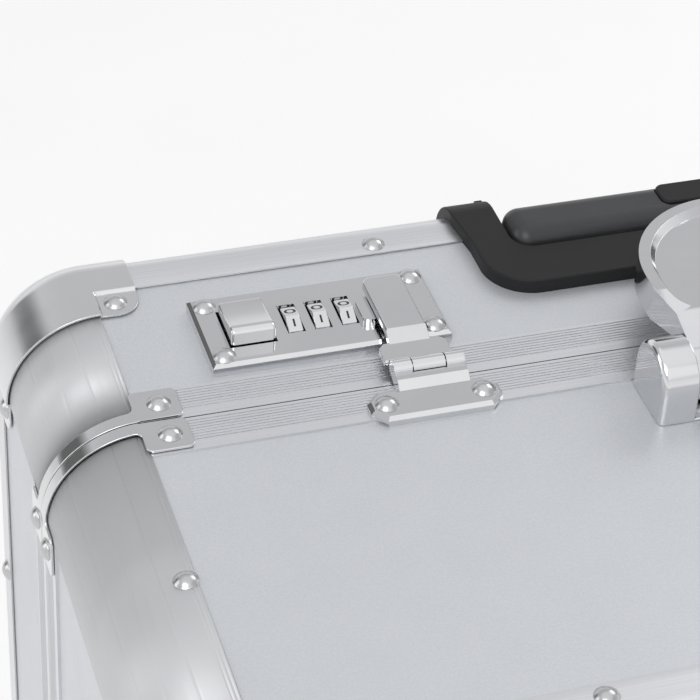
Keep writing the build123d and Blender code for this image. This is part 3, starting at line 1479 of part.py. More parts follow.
def make_wheel(sign):
    """A wheel's hub and web, inside its tyre."""
    rim_r = WHEEL_R - TYRE_T
    with BuildPart() as wheel:
        with Locations(Location((sign * WHEEL_X, WHEEL_Y, WHEEL_R), (0, 90, 0))):
            Cylinder(rim_r, WHEEL_W)
        for end in SIGNS:
            with Locations(Location((sign * WHEEL_X + end * WHEEL_W / 2, WHEEL_Y, WHEEL_R), (0, 90, 0))):
                Cylinder(rim_r - RIM_T, WHEEL_W / 2, mode=Mode.SUBTRACT)
        with Locations(Location((sign * WHEEL_X, WHEEL_Y, WHEEL_R), (0, 90, 0))):
            Cylinder(HUB_R, WHEEL_W + WHEEL_GAP - 2 * FIT_GAP)
            Cylinder(AXLE_R + RUNNING_GAP, 2 * WHEEL_W, mode=Mode.SUBTRACT)
    return wheel.part


def make_tyre(sign):
    """A wheel's tyre."""
    with BuildPart() as tyre:
        with Locations(Location((sign * WHEEL_X, WHEEL_Y, WHEEL_R), (0, 90, 0))):
            Cylinder(WHEEL_R, WHEEL_W)
        rims = tyre.edges().filter_by(GeomType.CIRCLE)
        fillet(rims, TYRE_T / 2)
        with Locations(Location((sign * WHEEL_X, WHEEL_Y, WHEEL_R), (0, 90, 0))):
            Cylinder(WHEEL_R - TYRE_T, WHEEL_W, mode=Mode.SUBTRACT)
    return tyre.part


def make_feet():
    """Rubber feet below the lid half's front."""
    with BuildPart() as feet:
        with Locations(*[(sign * FOOT_X, reach_y(-1, FOOT_REACH), 0) for sign in SIGNS]):
            Cone(
                FOOT_R - FOOT_TAPER, FOOT_R, GROUND_GAP + LIP_T,
                align=(Align.CENTER, Align.CENTER, Align.MIN),
            )
        fillet(feet.edges().group_by(Axis.Z)[0], FOOT_TAPER)
    return feet.part


HINGE_Z = GROUND_GAP - HINGE_DROP
HINGE_STEP = HINGE_L / HINGE_KNUCKLES


def make_leaves(side):
    """One side's leaves of the bottom hinges, with every other knuckle."""
    first = 0 if side > 0 else 1
    plate_start = HINGE_R + 2 * FIT_GAP
    with BuildPart() as leaves:
        for sign in SIGNS:
            x = (sign * HINGE_X - HINGE_L / 2, sign * HINGE_X + HINGE_L / 2)
            box_between(
                x, (reach_y(side, plate_start), reach_y(side, LEAF_REACH)), (GROUND_GAP - LEAF_T, GROUND_GAP)
            )
            for index in range(first, HINGE_KNUCKLES, 2):
                start = x[0] + index * HINGE_STEP + (FIT_GAP / 2 if index else 0)
                end = x[0] + (index + 1) * HINGE_STEP - (FIT_GAP / 2 if index < HINGE_KNUCKLES - 1 else 0)
                with Locations(Location(((start + end) / 2, SPLIT_Y, HINGE_Z), (0, 90, 0))):
                    Cylinder(HINGE_R, end - start)
                box_between(
                    (start, end), (reach_y(side, 0), reach_y(side, plate_start)), (HINGE_Z, HINGE_Z + HINGE_R)
                )
        bore = HINGE_PIN_R + (0 if side > 0 else RUNNING_GAP)
        with Locations(Location((0, SPLIT_Y, HINGE_Z), (0, 90, 0))):
            Cylinder(bore, CASE_W, mode=Mode.SUBTRACT)
        drill(leaf_places(side), LEAF_T)
    return leaves.part


def make_hinge_pins():
    """The bottom hinges' pins."""
    with BuildPart() as pins:
        for sign in SIGNS:
            with Locations(Location((sign * HINGE_X, SPLIT_Y, HINGE_Z), (0, 90, 0))):
                Cylinder(HINGE_PIN_R, HINGE_L)
    return pins.part


for half in HALVES:
    save(make_frame(half), f"{half}_frame")
    save(make_edge_profiles(half), f"{half}_edge_profiles")
    save(make_corner_profiles(half), f"{half}_corner_profiles")
    save(make_caps(half), f"{half}_corner_caps")
    save(make_brackets(half), f"{half}_frame_brackets")
    save(make_rivets(half), f"{half}_rivets")
    save(make_top_bottom_panel(half, 1), f"{half}_top_panel")
    save(make_top_bottom_panel(half, -1), f"{half}_bottom_panel")
    save(make_side_panels(half), f"{half}_side_panels")
    save(make_far_panel(half), f"{half}_panel")
    save(make_lining(half), f"{half}_lining")

save(make_seal(), "front_seal")

save(make_lock_plates(), "lock_plates")
save(make_lock_cases(), "lock_cases")
save(make_spindles(), "dial_spindles")
save(make_hasp_bases(), "hasp_bases")
save(make_hasp_pins(), "hasp_pins")
for sign, hand in zip(SIGNS, ("left", "right")):
    for index in range(DIAL_COUNT):
        save(make_dial(sign, index), f"{hand}_dial_{index + 1}")
    save(make_button(sign), f"{hand}_lock_button")
    save(make_bolt(sign), f"{hand}_lock_bolt")
    save(make_hasp(sign), f"{hand}_hasp")
    save(make_wheel(sign), f"{hand}_wheel")
    save(make_tyre(sign), f"{hand}_tyre")

save(make_handle(), "carry_handle")
save(make_handle_brackets(), "handle_brackets")
save(make_handle_pins(), "handle_pins")

save(make_bezel(), "trolley_bezel")
save(make_tubes(0, TUBE_LOW, WELL_FLOOR - WELL_T), "trolley_outer_tubes")
save(make_tubes(1, TUBE_LOW + TUBE_STEP, WELL_FLOOR + TUBE_COLLAR), "trolley_middle_tubes")
save(make_tubes(2, TUBE_LOW + 2 * TUBE_STEP, GRIP_HIGH - GRIP_T), "trolley_inner_tubes")
save(make_tube_feet(), "trolley_tube_feet")
save(make_grip(), "trolley_grip")
save(make_push_button(), "trolley_button")

save(make_wheel_housings(), "wheel_housings")
save(make_axles(), "wheel_axles")
save(make_feet(), "front_feet")
save(make_leaves(1), "hinge_back_leaves")
save(make_leaves(-1), "hinge_front_leaves")
save(make_hinge_pins(), "hinge_pins")
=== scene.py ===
import bmesh
import bpy
import json
from math import acos, cos, pi, radians, sin
from mathutils import Matrix, Vector


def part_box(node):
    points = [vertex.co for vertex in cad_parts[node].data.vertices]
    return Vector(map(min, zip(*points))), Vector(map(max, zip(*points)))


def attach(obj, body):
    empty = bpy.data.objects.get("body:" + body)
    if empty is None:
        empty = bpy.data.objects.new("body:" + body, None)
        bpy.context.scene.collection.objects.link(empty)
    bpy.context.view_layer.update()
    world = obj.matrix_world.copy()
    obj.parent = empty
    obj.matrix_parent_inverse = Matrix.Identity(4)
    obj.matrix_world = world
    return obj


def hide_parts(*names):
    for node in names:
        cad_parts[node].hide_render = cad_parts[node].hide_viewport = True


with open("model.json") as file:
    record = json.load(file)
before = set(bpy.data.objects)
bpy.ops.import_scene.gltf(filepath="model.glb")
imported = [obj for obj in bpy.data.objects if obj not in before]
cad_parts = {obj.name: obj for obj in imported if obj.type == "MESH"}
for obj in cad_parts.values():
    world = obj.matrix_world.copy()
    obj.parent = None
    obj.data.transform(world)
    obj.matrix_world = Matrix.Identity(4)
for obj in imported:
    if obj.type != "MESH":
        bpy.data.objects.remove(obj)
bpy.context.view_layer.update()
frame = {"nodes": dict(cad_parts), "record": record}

# Places taken from the frame, in metres
NODES = frame["nodes"]
SPLIT_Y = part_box("hinge_pins")[0][1] / 2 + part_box("hinge_pins")[1][1] / 2
CASE_LOW, CASE_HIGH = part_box("back_edge_profiles")
FRONT_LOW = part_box("front_edge_profiles")[0]
CASE_X = CASE_HIGH[0]
Z_TOP = CASE_HIGH[2]
Z_LOW = CASE_LOW[2]
Z_MID = (Z_TOP + Z_LOW) / 2
BACK_Y = CASE_HIGH[1]
FRONT_Y = FRONT_LOW[1]
MM = 0.001
SHELL_R = 28 * MM
CORNER_X = CASE_X - SHELL_R
CORNER_Z = (Z_TOP - Z_LOW) / 2 - SHELL_R


# Materials

class Nodes:
    """A small helper that adds and links shader nodes in one material or world."""

    def __init__(self, tree):
        self.tree = tree
        tree.nodes.clear()

    def add(self, kind, inputs=None, **settings):
        node = self.tree.nodes.new(kind)
        for name, value in settings.items():
            setattr(node, name, value)
        for name, value in (inputs or {}).items():
            if isinstance(value, bpy.types.NodeSocket):
                self.tree.links.new(value, node.inputs[name])
            else:
                node.inputs[name].default_value = value
        return node

    def place(self, scale):
        """Object coordinates, stretched."""
        coordinates = self.add("ShaderNodeTexCoord")
        return self.add(
            "ShaderNodeMapping", {"Vector": coordinates.outputs["Object"], "Scale": scale}
        ).outputs["Vector"]

    def noise(self, scale, size, detail=3.0, roughness=0.5):
        return self.add(
            "ShaderNodeTexNoise",
            {"Vector": self.place(scale), "Scale": size, "Detail": detail, "Roughness": roughness},
        ).outputs["Fac"]

    def span(self, value, low, high, start=0.3, end=0.7):
        return self.add(
            "ShaderNodeMapRange",
            {"Value": value, "From Min": start, "From Max": end, "To Min": low, "To Max": high},
        ).outputs["Result"]

    def mix(self, factor, first, second):
        node = self.add("ShaderNodeMix", data_type="RGBA")
        node.inputs["Factor"].default_value = 0.5
        self.tree.links.new(factor, node.inputs["Factor"])
        for index, value in ((6, first), (7, second)):
            if isinstance(value, bpy.types.NodeSocket):
                self.tree.links.new(value, node.inputs[index])
            else:
                node.inputs[index].default_value = (*value, 1.0)
        return node.outputs[2]

    def bump(self, height, distance, strength=1.0, normal=None):
        inputs = {"Height": height, "Distance": distance, "Strength": strength}
        if normal is not None:
            inputs["Normal"] = normal
        return self.add("ShaderNodeBump", inputs).outputs["Normal"]

    def surface(self, **inputs):
        values = {name.replace("_", " "): value for name, value in inputs.items()}
        for name, value in values.items():
            if isinstance(value, tuple) and len(value) == 3:
                values[name] = (*value, 1.0)
        shader = self.add("ShaderNodeBsdfPrincipled", values)
        self.add("ShaderNodeOutputMaterial", {"Surface": shader.outputs["BSDF"]})


def new_material(name):
    material = bpy.data.materials.new(name)
    material.use_nodes = True
    return material, Nodes(material.node_tree)


def aluminium(name, stretch, metal=0.92, rough=0.30, streaks=1.0, pale=0.80):
    """Satin extruded aluminium, its drawing lines along the profile."""
    material, n = new_material(name)
    lines = n.noise(stretch, 1.0, 4.0, 0.7)
    clouds = n.noise((1, 1, 1), 22.0)
    specks = n.noise((1, 1, 1), 900.0, 2.0)
    colour = n.mix(n.span(lines, 0.0, streaks), (pale, pale * 1.01, pale * 1.03), (0.66, 0.67, 0.69))
    colour = n.mix(n.span(clouds, 0.0, 0.25), colour, (pale * 0.92, pale * 0.94, pale * 0.98))
    normal = n.bump(lines, 0.00004, 0.5 * streaks)
    normal = n.bump(specks, 0.00002, 0.3, normal)
    n.surface(
        Base_Color=colour, Metallic=metal, Roughness=n.span(lines, rough, rough + 0.12), Normal=normal,
    )
    return material


def silver_panel():
    """Silver laminate: a very fine grain under a satin coat."""
    material, n = new_material("silver_panel")
    grain = n.noise((1, 1, 1), 1500.0, 2.0)
    clouds = n.noise((1, 1, 1), 9.0)
    wear = n.noise((1, 1, 1), 60.0, 5.0, 0.65)
    colour = n.mix(n.span(grain, 0.0, 1.0), (0.63, 0.65, 0.68), (0.70, 0.72, 0.75))
    colour = n.mix(n.span(clouds, 0.0, 0.3), colour, (0.73, 0.75, 0.79))
    normal = n.bump(grain, 0.00003, 0.35)
    normal = n.bump(n.noise((1, 1, 1), 120.0, 1.0), 0.00005, 0.15, normal)
    n.surface(
        Base_Color=colour, Metallic=0.35, Roughness=n.span(wear, 0.36, 0.46), Normal=normal,
        Coat_Weight=0.15, Coat_Roughness=0.3,
    )
    return material


def chrome(name, rough=0.07, shade=0.80):
    """Chrome plate with faint ripples, smudges and fine rubbing marks."""
    material, n = new_material(name)
    smudge = n.noise((1, 1, 1), 55.0, 5.0, 0.6)
    rub = n.noise((300, 900, 300), 1.0, 3.0)
    ripple = n.noise((1, 1, 1), 140.0, 1.0)
    clear = (shade, shade, shade * 1.01)
    smeared = (shade * 0.94, shade * 0.95, shade * 0.97)
    colour = n.mix(n.span(smudge, 0.0, 1.0), clear, smeared)
    normal = n.bump(ripple, 0.00004, 0.12)
    normal = n.bump(rub, 0.000008, 0.3, normal)
    n.surface(
        Base_Color=colour, Metallic=1.0, Roughness=n.span(smudge, rough, rough + 0.09), Normal=normal,
    )
    return material


def plastic(name, dark, light, rough, grain=1100.0, depth=0.00006, shine=0.5):
    """Moulded plastic with a fine grain."""
    material, n = new_material(name)
    fine = n.noise((1, 1, 1), grain, 2.0)
    clouds = n.noise((1, 1, 1), 35.0, 3.0)
    colour = n.mix(n.span(clouds, 0.0, 1.0), dark, light)
    normal = n.bump(fine, depth, 0.5)
    n.surface(
        Base_Color=colour, Roughness=n.span(clouds, rough - 0.05, rough + 0.07), Normal=normal,
        Specular_IOR_Level=shine,
    )
    return material


def woven(name, dark, light, pitch=0.0009):
    """A woven lining cloth: two crossed sets of threads."""
    material, n = new_material(name)
    waves = []
    for direction in ("X", "Z"):
        wave = n.add(
            "ShaderNodeTexWave", {"Vector": n.place((1, 1, 1)), "Scale": 0.314 / pitch, "Distortion": 0.4},
            bands_direction=direction,
        )
        waves.append(wave.outputs["Fac"])
    weave = n.add("ShaderNodeMath", {0: waves[0], 1: waves[1]}, operation="MULTIPLY").outputs[0]
    patches = n.noise((1, 1, 1), 25.0)
    colour = n.mix(n.span(weave, 0.0, 1.0, 0.1, 0.8), dark, light)
    colour = n.mix(n.span(patches, 0.0, 0.3), colour, dark)
    n.surface(
        Base_Color=colour, Roughness=0.85, Normal=n.bump(weave, 0.00015, 0.6), Sheen_Weight=0.3,
    )
    return material


ALU_RING = aluminium("aluminium_ring", (18, 1500, 18))
ALU_CORNER = aluminium("aluminium_corner", (900, 12, 900), 0.6, 0.46, 0.25, 0.62)
ALU_TUBE = aluminium("aluminium_tube", (900, 900, 10))
PANEL = silver_panel()
CHROME = chrome("chrome", 0.07, 0.72)
SATIN_CHROME = chrome("satin_chrome", 0.16, 0.74)
STEEL = chrome("plated_steel", 0.24, 0.62)
BLACK = plastic("black_moulding", (0.011, 0.011, 0.012), (0.017, 0.017, 0.018), 0.55, shine=0.3)
GRIP = plastic("grip_moulding", (0.036, 0.037, 0.039), (0.046, 0.047, 0.05), 0.36)
RUBBER = plastic("rubber", (0.02, 0.02, 0.02), (0.035, 0.035, 0.035), 0.75, 700.0, 0.0001)
LINING = woven("lining_cloth", (0.02, 0.02, 0.022), (0.06, 0.06, 0.065))
RIVET = chrome("rivet_head", 0.22, 0.56)
MARK = plastic("dial_marks", (0.012, 0.012, 0.012), (0.02, 0.02, 0.02), 0.45)

FINISH = {
    "aluminium_profile": ALU_RING, "panel_silver": PANEL, "chrome": CHROME, "steel": STEEL,
    "black_plastic": BLACK, "grip_plastic": GRIP, "dial_chrome": CHROME, "tube_aluminium": ALU_TUBE,
    "lining": LINING, "rubber": RUBBER, "tyre": RUBBER,
}


def assign(node, material):
    data = NODES[node].data
    data.materials.clear()
    data.materials.append(material)


def dress_frame():
    """Each carried-over CAD node gets its slot's material."""
    for part in frame["record"]["subparts"]:
        node = part["node"]
        assign(node, FINISH[part["material_slot"]])
    for half in ("back", "front"):
        assign(f"{half}_corner_profiles", ALU_CORNER)


# Mesh tools

def mesh_object(name, mesh, material, smooth=True):
    if smooth:
        mesh.shade_smooth()
    obj = bpy.data.objects.new(name, mesh)
    bpy.context.scene.collection.objects.link(obj)
    obj.data.materials.append(material)
    return obj


def from_bmesh(name, work, material):
    mesh = bpy.data.meshes.new(name)
    work.to_mesh(mesh)
    work.free()
    return mesh_object(name, mesh, material)


def ease(obj, width, segments=2, angle=30.0):
    """Rounded edges and weighted normals on a piece or a carried-over node."""
    if width:
        bevel = obj.modifiers.new("ease", "BEVEL")
        bevel.width = width
        bevel.segments = segments
        bevel.limit_method = "ANGLE"
        bevel.angle_limit = radians(angle)
    normals = obj.modifiers.new("normals", "WEIGHTED_NORMAL")
    normals.keep_sharp = True
    normals.weight = 100


def soften(node, width, segments=2, angle=30.0):
    """A CAD node's own mesh, its flat faces merged, its edges rounded and shaded smooth."""
    obj = NODES[node]
    obj.data.shade_smooth()
    weld = obj.modifiers.new("weld", "WELD")
    weld.merge_threshold = 0.002 * MM
    flat = obj.modifiers.new("flat", "DECIMATE")
    flat.decimate_type = "DISSOLVE"
    flat.angle_limit = radians(0.6)
    ease(obj, width, segments, angle)


def declare(obj, node, body):
    """Hides the node that a piece stands for, and attaches the piece to its body."""
    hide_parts(node)
    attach(obj, body)
    return obj


def add_sheet(work, rows, inside):
    """A sheet of quads through rows of points, some of them missing, facing away from inside."""
    verts = [[work.verts.new(point) if point is not None else None for point in row] for row in rows]
    faces = []
    for first, second in zip(verts, verts[1:]):
        for index in range(len(first) - 1):
            corners = (first[index], first[index + 1], second[index + 1], second[index])
            if None not in corners:
                faces.append(work.faces.new(corners))
    work.normal_update()
    if faces[0].normal.dot(faces[0].calc_center_median() - inside) < 0:
        bmesh.ops.reverse_faces(work, faces=faces)


def add_prism(work, outline, low, high, place, cuts=()):
    """A closed plate: an outline in (u, v) between two heights, cut at some u, then placed."""
    part = bmesh.new()
    top = [part.verts.new((u, v, high)) for u, v in outline]
    bottom = [part.verts.new((u, v, low)) for u, v in outline]
    part.faces.new(top)
    part.faces.new(list(reversed(bottom)))
    count = len(outline)
    for index in range(count):
        after = (index + 1) % count
        part.faces.new((top[index], bottom[index], bottom[after], top[after]))
    for cut in cuts:
        geometry = part.verts[:] + part.edges[:] + part.faces[:]
        bmesh.ops.bisect_plane(part, geom=geometry, plane_co=(cut, 0, 0), plane_no=(1, 0, 0))
    for vert in part.verts:
        vert.co = place(*vert.co)
    bmesh.ops.recalc_face_normals(part, faces=part.faces)
    mesh = bpy.data.meshes.new("part")
    part.to_mesh(mesh)
    part.free()
    work.from_mesh(mesh)
    bpy.data.meshes.remove(mesh)


def arc_points(centre, radius, start, end, steps):
    """Points of an arc, its angles in degrees."""
    angles = [radians(start + (end - start) * index / steps) for index in range(steps + 1)]
    return [(centre[0] + radius * cos(angle), centre[1] + radius * sin(angle)) for angle in angles]


def islands(node):
    """The lists of a node's vertices, one for each of its separate solids."""
    mesh = NODES[node].data
    work = bmesh.new()
    work.from_mesh(mesh)
    bmesh.ops.remove_doubles(work, verts=work.verts, dist=1e-6)
    seen = set()
    groups = []
    for start in work.verts:
        if start in seen:
            continue
        seen.add(start)
        stack = [start]
        group = []
        while stack:
            vertex = stack.pop()
            group.append(vertex.co.copy())
            for edge in vertex.link_edges:
                other = edge.other_vert(vertex)
                if other not in seen:
                    seen.add(other)
                    stack.append(other)
        groups.append(group)
    work.free()
    return groups


# Shell: places by a corner

HALVES = {"back": (1, BACK_Y - SPLIT_Y, "back_half"), "front": (-1, SPLIT_Y - FRONT_Y, "lid")}
CORNERS = [(x_sign, z_sign) for x_sign in (-1, 1) for z_sign in (-1, 1)]
ARC = SHELL_R * pi / 2
EDGE_R = 10 * MM
MIDDLE = Vector((0, SPLIT_Y, Z_MID))
ARC_STEPS = 30
ARC_CUTS = [ARC * index / ARC_STEPS for index in range(ARC_STEPS + 1)]


def by_corner(half, corner, along, radius, reach):
    """A point beside a corner of a half.

    along runs on the outline, from 0 to ARC round the corner itself; radius is the
    distance from the middle line of the bend, and reach the distance from the split.
    """
    if along < 0:
        x, z = along, radius
    elif along > ARC:
        x, z = radius, ARC - along
    else:
        x, z = radius * sin(along / SHELL_R), radius * cos(along / SHELL_R)
    side = HALVES[half][0]
    return Vector((corner[0] * (CORNER_X + x), SPLIT_Y + side * reach, Z_MID + corner[1] * (CORNER_Z + z)))


# Corner caps

CAP_H = 1.3 * MM
CAP_ARM = 13 * MM
CAP_REACH = 31 * MM
CAP_LIP = 20 * MM
CAP_SEAT = 9 * MM
CAP_SLOPE = 1.0 * MM
TAB_H = 0.3 * MM
TAB_R = 7 * MM
TAB_IN = 5.8 * MM
FACE_TAB = 1.2 * MM


def cap_height(along, reach, lip):
    """The height of a cap's surface, which falls to its tabs round the raised corner."""
    out = max(-along, along - ARC, 0)
    short = max(lip - reach, 0)
    fall = min(min(out, short) / CAP_SLOPE, 1.0)
    return CAP_H - (CAP_H - TAB_H) * fall


def cap_rows(half, corner):
    full = HALVES[half][1]
    near = full - CAP_REACH
    lip = full - CAP_LIP
    bend = full - EDGE_R
    out = [CAP_ARM, CAP_ARM / 2, CAP_SLOPE, CAP_SLOPE / 2]
    places = [-step for step in out] + ARC_CUTS + [ARC + step for step in reversed(out)]
    reaches = [near, (near + lip) / 2, lip - CAP_SLOPE, lip - CAP_SLOPE / 2, lip, bend]
    rows = []
    for along in places:
        row = []
        away = max(-along, along - ARC)
        for reach in reaches:
            missing = away > CAP_SLOPE * 1.01 and reach < lip - CAP_SLOPE * 1.01
            height = cap_height(along, reach, lip)
            row.append(None if missing else by_corner(half, corner, along, SHELL_R + height, reach))
        for step in range(1, 10):
            turn = radians(10 * step)
            radius = SHELL_R - EDGE_R + (EDGE_R + CAP_H) * cos(turn)
            row.append(by_corner(half, corner, along, radius, bend + (EDGE_R + CAP_H) * sin(turn)))
        lean = max(cos(along / SHELL_R), sin(along / SHELL_R)) if 0 < along < ARC else 1.0
        seat = CAP_SEAT / lean
        row.append(by_corner(half, corner, along, seat, full + CAP_H))
        row.append(by_corner(half, corner, along, seat - CAP_SLOPE, full + TAB_H))
        rows.append(row)
    return rows


def make_caps(half):
    """Pressed corner caps: a thin raised shell over each corner, and its three flat tabs."""
    body = HALVES[half][2]
    full = HALVES[half][1]
    node = f"{half}_corner_caps"
    shell = bmesh.new()
    tabs = bmesh.new()
    near = full - CAP_REACH
    lip = full - CAP_LIP
    tab = [(0, near), (-TAB_IN, near)]
    tab += arc_points((-TAB_IN, near + TAB_R), TAB_R, 270, 180, 10)
    tab += [(-CAP_ARM, near + TAB_R), (-CAP_ARM, lip), (0, lip)]
    face = [(CAP_SEAT, FACE_TAB), (CAP_SEAT, CAP_SEAT), (FACE_TAB, CAP_SEAT)]
    face += arc_points((FACE_TAB, FACE_TAB), TAB_R, 90, 360, 24)
    for corner in CORNERS:
        add_sheet(shell, cap_rows(half, corner), MIDDLE)
        for turned in (False, True):
            def on_tab(u, v, w):
                along = ARC - u if turned else u
                return by_corner(half, corner, along, SHELL_R + w, v)
            add_prism(tabs, tab, -TAB_H, TAB_H, on_tab)

        def on_face(u, v, w):
            side = HALVES[half][0]
            x = corner[0] * (CORNER_X + u)
            return Vector((x, SPLIT_Y + side * (full + w), Z_MID + corner[1] * (CORNER_Z + v)))
        add_prism(tabs, face, -TAB_H, TAB_H, on_face)
    shell = from_bmesh(f"{half}_cap_shells", shell, SATIN_CHROME)
    wall = shell.modifiers.new("wall", "SOLIDIFY")
    wall.thickness = 0.85 * MM
    wall.offset = -1.0
    ease(shell, 0.22 * MM, 3)
    declare(shell, node, body)
    tabs = from_bmesh(f"{half}_cap_tabs", tabs, SATIN_CHROME)
    ease(tabs, 0.18 * MM)
    declare(tabs, node, body)


# Frame brackets

BRACKET_T = 1.0 * MM
BRACKET_L = 14 * MM
BRACKET_NEAR = 0.6 * MM
BRACKET_FAR = 13 * MM
BRACKET_R = 2 * MM
BAND_NEAR = 0.2 * MM
BAND_FAR = 4.6 * MM


def make_brackets(half):
    """Frame brackets: two riveted plates and the band that joins them round the corner."""
    lap = BRACKET_L - CAP_ARM
    near, far, round_r = BRACKET_NEAR, BRACKET_FAR, BRACKET_R
    left = arc_points((-CAP_ARM + round_r, near + round_r), round_r, 270, 180, 5)
    left += arc_points((-CAP_ARM + round_r, far - round_r), round_r, 180, 90, 5)
    left += arc_points((lap - round_r, far - round_r), round_r, 90, 0, 5)
    left += arc_points((lap + round_r, BAND_FAR + round_r), round_r, 180, 270, 5)
    right = [(ARC - u, v) for u, v in reversed(left)]
    outline = [(lap, BAND_NEAR), (0, near)] + left + right + [(ARC, near), (ARC - lap, BAND_NEAR)]
    work = bmesh.new()
    for corner in CORNERS:
        def place(u, v, w):
            return by_corner(half, corner, u, SHELL_R + w, v)
        add_prism(work, outline, 0.15 * MM, BRACKET_T, place, ARC_CUTS)
    plates = from_bmesh(f"{half}_bracket_plates", work, CHROME)
    ease(plates, 0.25 * MM, 3)
    declare(plates, f"{half}_frame_brackets", HALVES[half][2])


# Corner profiles

# angle in degrees, depth in millimetres and half width in degrees of each groove
GROOVES = (
    (22.0, 0.05, 1.6), (37.0, 0.05, 1.6), (53.0, 0.05, 1.6),
    (69.7, 0.16, 0.8), (85.6, 0.14, 0.7), (88.0, 0.16, 0.7),
)


def profile_radius(angle):
    """The radius of a corner profile at an angle in degrees from its lower seam's normal."""
    depth = 0.0
    for middle, deep, width in GROOVES:
        off = abs(angle - middle) / width
        if off < 1:
            depth = max(depth, deep * (1 + cos(pi * off)) / 2)
    return SHELL_R - depth * MM


def make_corner_profiles(half):
    """Quarter-round profiles with shallow drawn grooves."""
    full = HALVES[half][1]
    angles = [0.4 * index for index in range(226)]
    work = bmesh.new()
    wall = 1.4 * MM
    for corner in CORNERS:
        ring = []
        for angle in angles:
            turn = radians(angle)
            ring.append((profile_radius(90 - angle), turn))
        ring += [(SHELL_R - wall, radians(angle)) for angle in reversed(angles[::10])]
        ring.append(ring[0])
        rows = []
        for reach in (BAND_FAR, full / 2, full - EDGE_R):
            rows.append([by_corner(half, corner, SHELL_R * turn, radius, reach) for radius, turn in ring])
        add_sheet(work, rows, MIDDLE)
    bmesh.ops.remove_doubles(work, verts=work.verts, dist=1e-7)
    bmesh.ops.holes_fill(work, edges=[edge for edge in work.edges if edge.is_boundary])
    profiles = from_bmesh(f"{half}_corner_rounds", work, ALU_CORNER)
    ease(profiles, 0)
    declare(profiles, f"{half}_corner_profiles", HALVES[half][2])


# Rivets

def outward(place):
    """The direction straight out of the case at a place on or just below its surface."""
    x, y, z = place
    margin = 12 * MM
    if y > BACK_Y - margin and abs(x) < CASE_X - margin and Z_LOW + margin < z < Z_TOP - margin:
        return Vector((0, 1, 0))
    if y < FRONT_Y + margin and abs(x) < CASE_X - margin and Z_LOW + margin < z < Z_TOP - margin:
        return Vector((0, -1, 0))
    side = Vector((max(abs(x) - CORNER_X, 0) * (1 if x > 0 else -1), 0, 0))
    side.z = max(abs(z - Z_MID) - CORNER_Z, 0) * (1 if z > Z_MID else -1)
    return side.normalized()


RIVET_R = 3.5 * MM
RIVET_H = 1.9 * MM


def dome_profile(steps=9):
    """(radius, height) points of a rivet's head, from its foot to its top."""
    ball = (RIVET_R**2 + RIVET_H**2) / (2 * RIVET_H)
    half = acos(1 - RIVET_H / ball)
    points = [(RIVET_R * 0.97, -0.3 * MM), (RIVET_R, 0.15 * MM)]
    for index in range(steps):
        angle = half * (1 - (index + 0.6) / steps)
        points.append((ball * sin(angle), RIVET_H - ball * (1 - cos(angle))))
    return points


def make_rivets(half):
    """Finely turned rivet heads in place of the node's coarse ones."""
    node = f"{half}_rivets"
    work = bmesh.new()
    turns = 32
    for group in islands(node):
        middle = sum(group, Vector()) / len(group)
        axis = outward(middle)
        top = max(point.dot(axis) for point in group)
        low = [min(point[i] for point in group) for i in range(3)]
        high = [max(point[i] for point in group) for i in range(3)]
        centre = Vector([(a + b) / 2 for a, b in zip(low, high)])
        base = centre + axis * (top - RIVET_H - centre.dot(axis))
        turn = axis.to_track_quat("Z", "Y").to_matrix()
        rings = []
        for radius, height in dome_profile():
            ring = []
            for index in range(turns):
                angle = 2 * pi * index / turns
                spot = Vector((radius * cos(angle), radius * sin(angle), height))
                ring.append(work.verts.new(base + turn @ spot))
            rings.append(ring)
        for lower, upper in zip(rings, rings[1:]):
            for index in range(turns):
                after = (index + 1) % turns
                work.faces.new((lower[index], lower[after], upper[after], upper[index]))
        work.faces.new(rings[-1])
        work.faces.new(list(reversed(rings[0])))
    heads = from_bmesh(f"{half}_rivet_heads", work, RIVET)
    declare(heads, node, HALVES[half][2])


# Locks

def box_of(node):
    """A node's low and high corners, as vectors."""
    low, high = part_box(node)
    return Vector(low), Vector(high)


def make_button(hand):
    """The release button: a cushion with round corners, hollowed across its top."""
    node = f"{hand}_lock_button"
    low, high = box_of(node)
    shoe = 1.0 * MM
    near, far = low.y + shoe, high.y - shoe
    dip = 1.5 * MM
    far_drop = 0.15 * MM
    crest = near + 2.2 * MM
    nose = (near, high.z - 1.3 * MM)
    brow = (near + 0.5 * MM, high.z - 0.35 * MM)
    section = [(far, low.z), (near, low.z), nose, brow, (crest, high.z)]
    steps = 14
    for index in range(1, steps + 1):
        share = index / steps
        y = crest + (far - crest) * share
        sag = sin(pi * share * 0.62) * dip
        section.append((y, high.z - sag - far_drop * share))
    work = bmesh.new()
    add_prism(work, section, low.x, high.x, lambda u, v, w: Vector((w, u, v)))
    cap = from_bmesh(f"{hand}_button_cap", work, CHROME)
    ease(cap, 1.5 * MM, 6, 40.0)
    declare(cap, node, f"{hand}_lock_button")


FACETS = 10
ZERO_TURN = radians(11.0)
NUMERAL_W = 3.6 * MM
ONE_W = 0.6 * MM
NUMERAL_H = 2.5 * MM
NUMERAL_RISE = 0.03 * MM


def numeral_mesh(digit):
    """A flat numeral as a mesh."""
    curve = bpy.data.curves.new("numeral", "FONT")
    curve.body = str(digit)
    curve.size = 1.0
    curve.align_x = "CENTER"
    curve.align_y = "CENTER"
    holder = bpy.data.objects.new("numeral", curve)
    bpy.context.scene.collection.objects.link(holder)
    bpy.context.view_layer.update()
    graph = bpy.context.evaluated_depsgraph_get()
    mesh = bpy.data.meshes.new_from_object(holder.evaluated_get(graph))
    bpy.data.objects.remove(holder)
    bpy.data.curves.remove(curve)
    return mesh


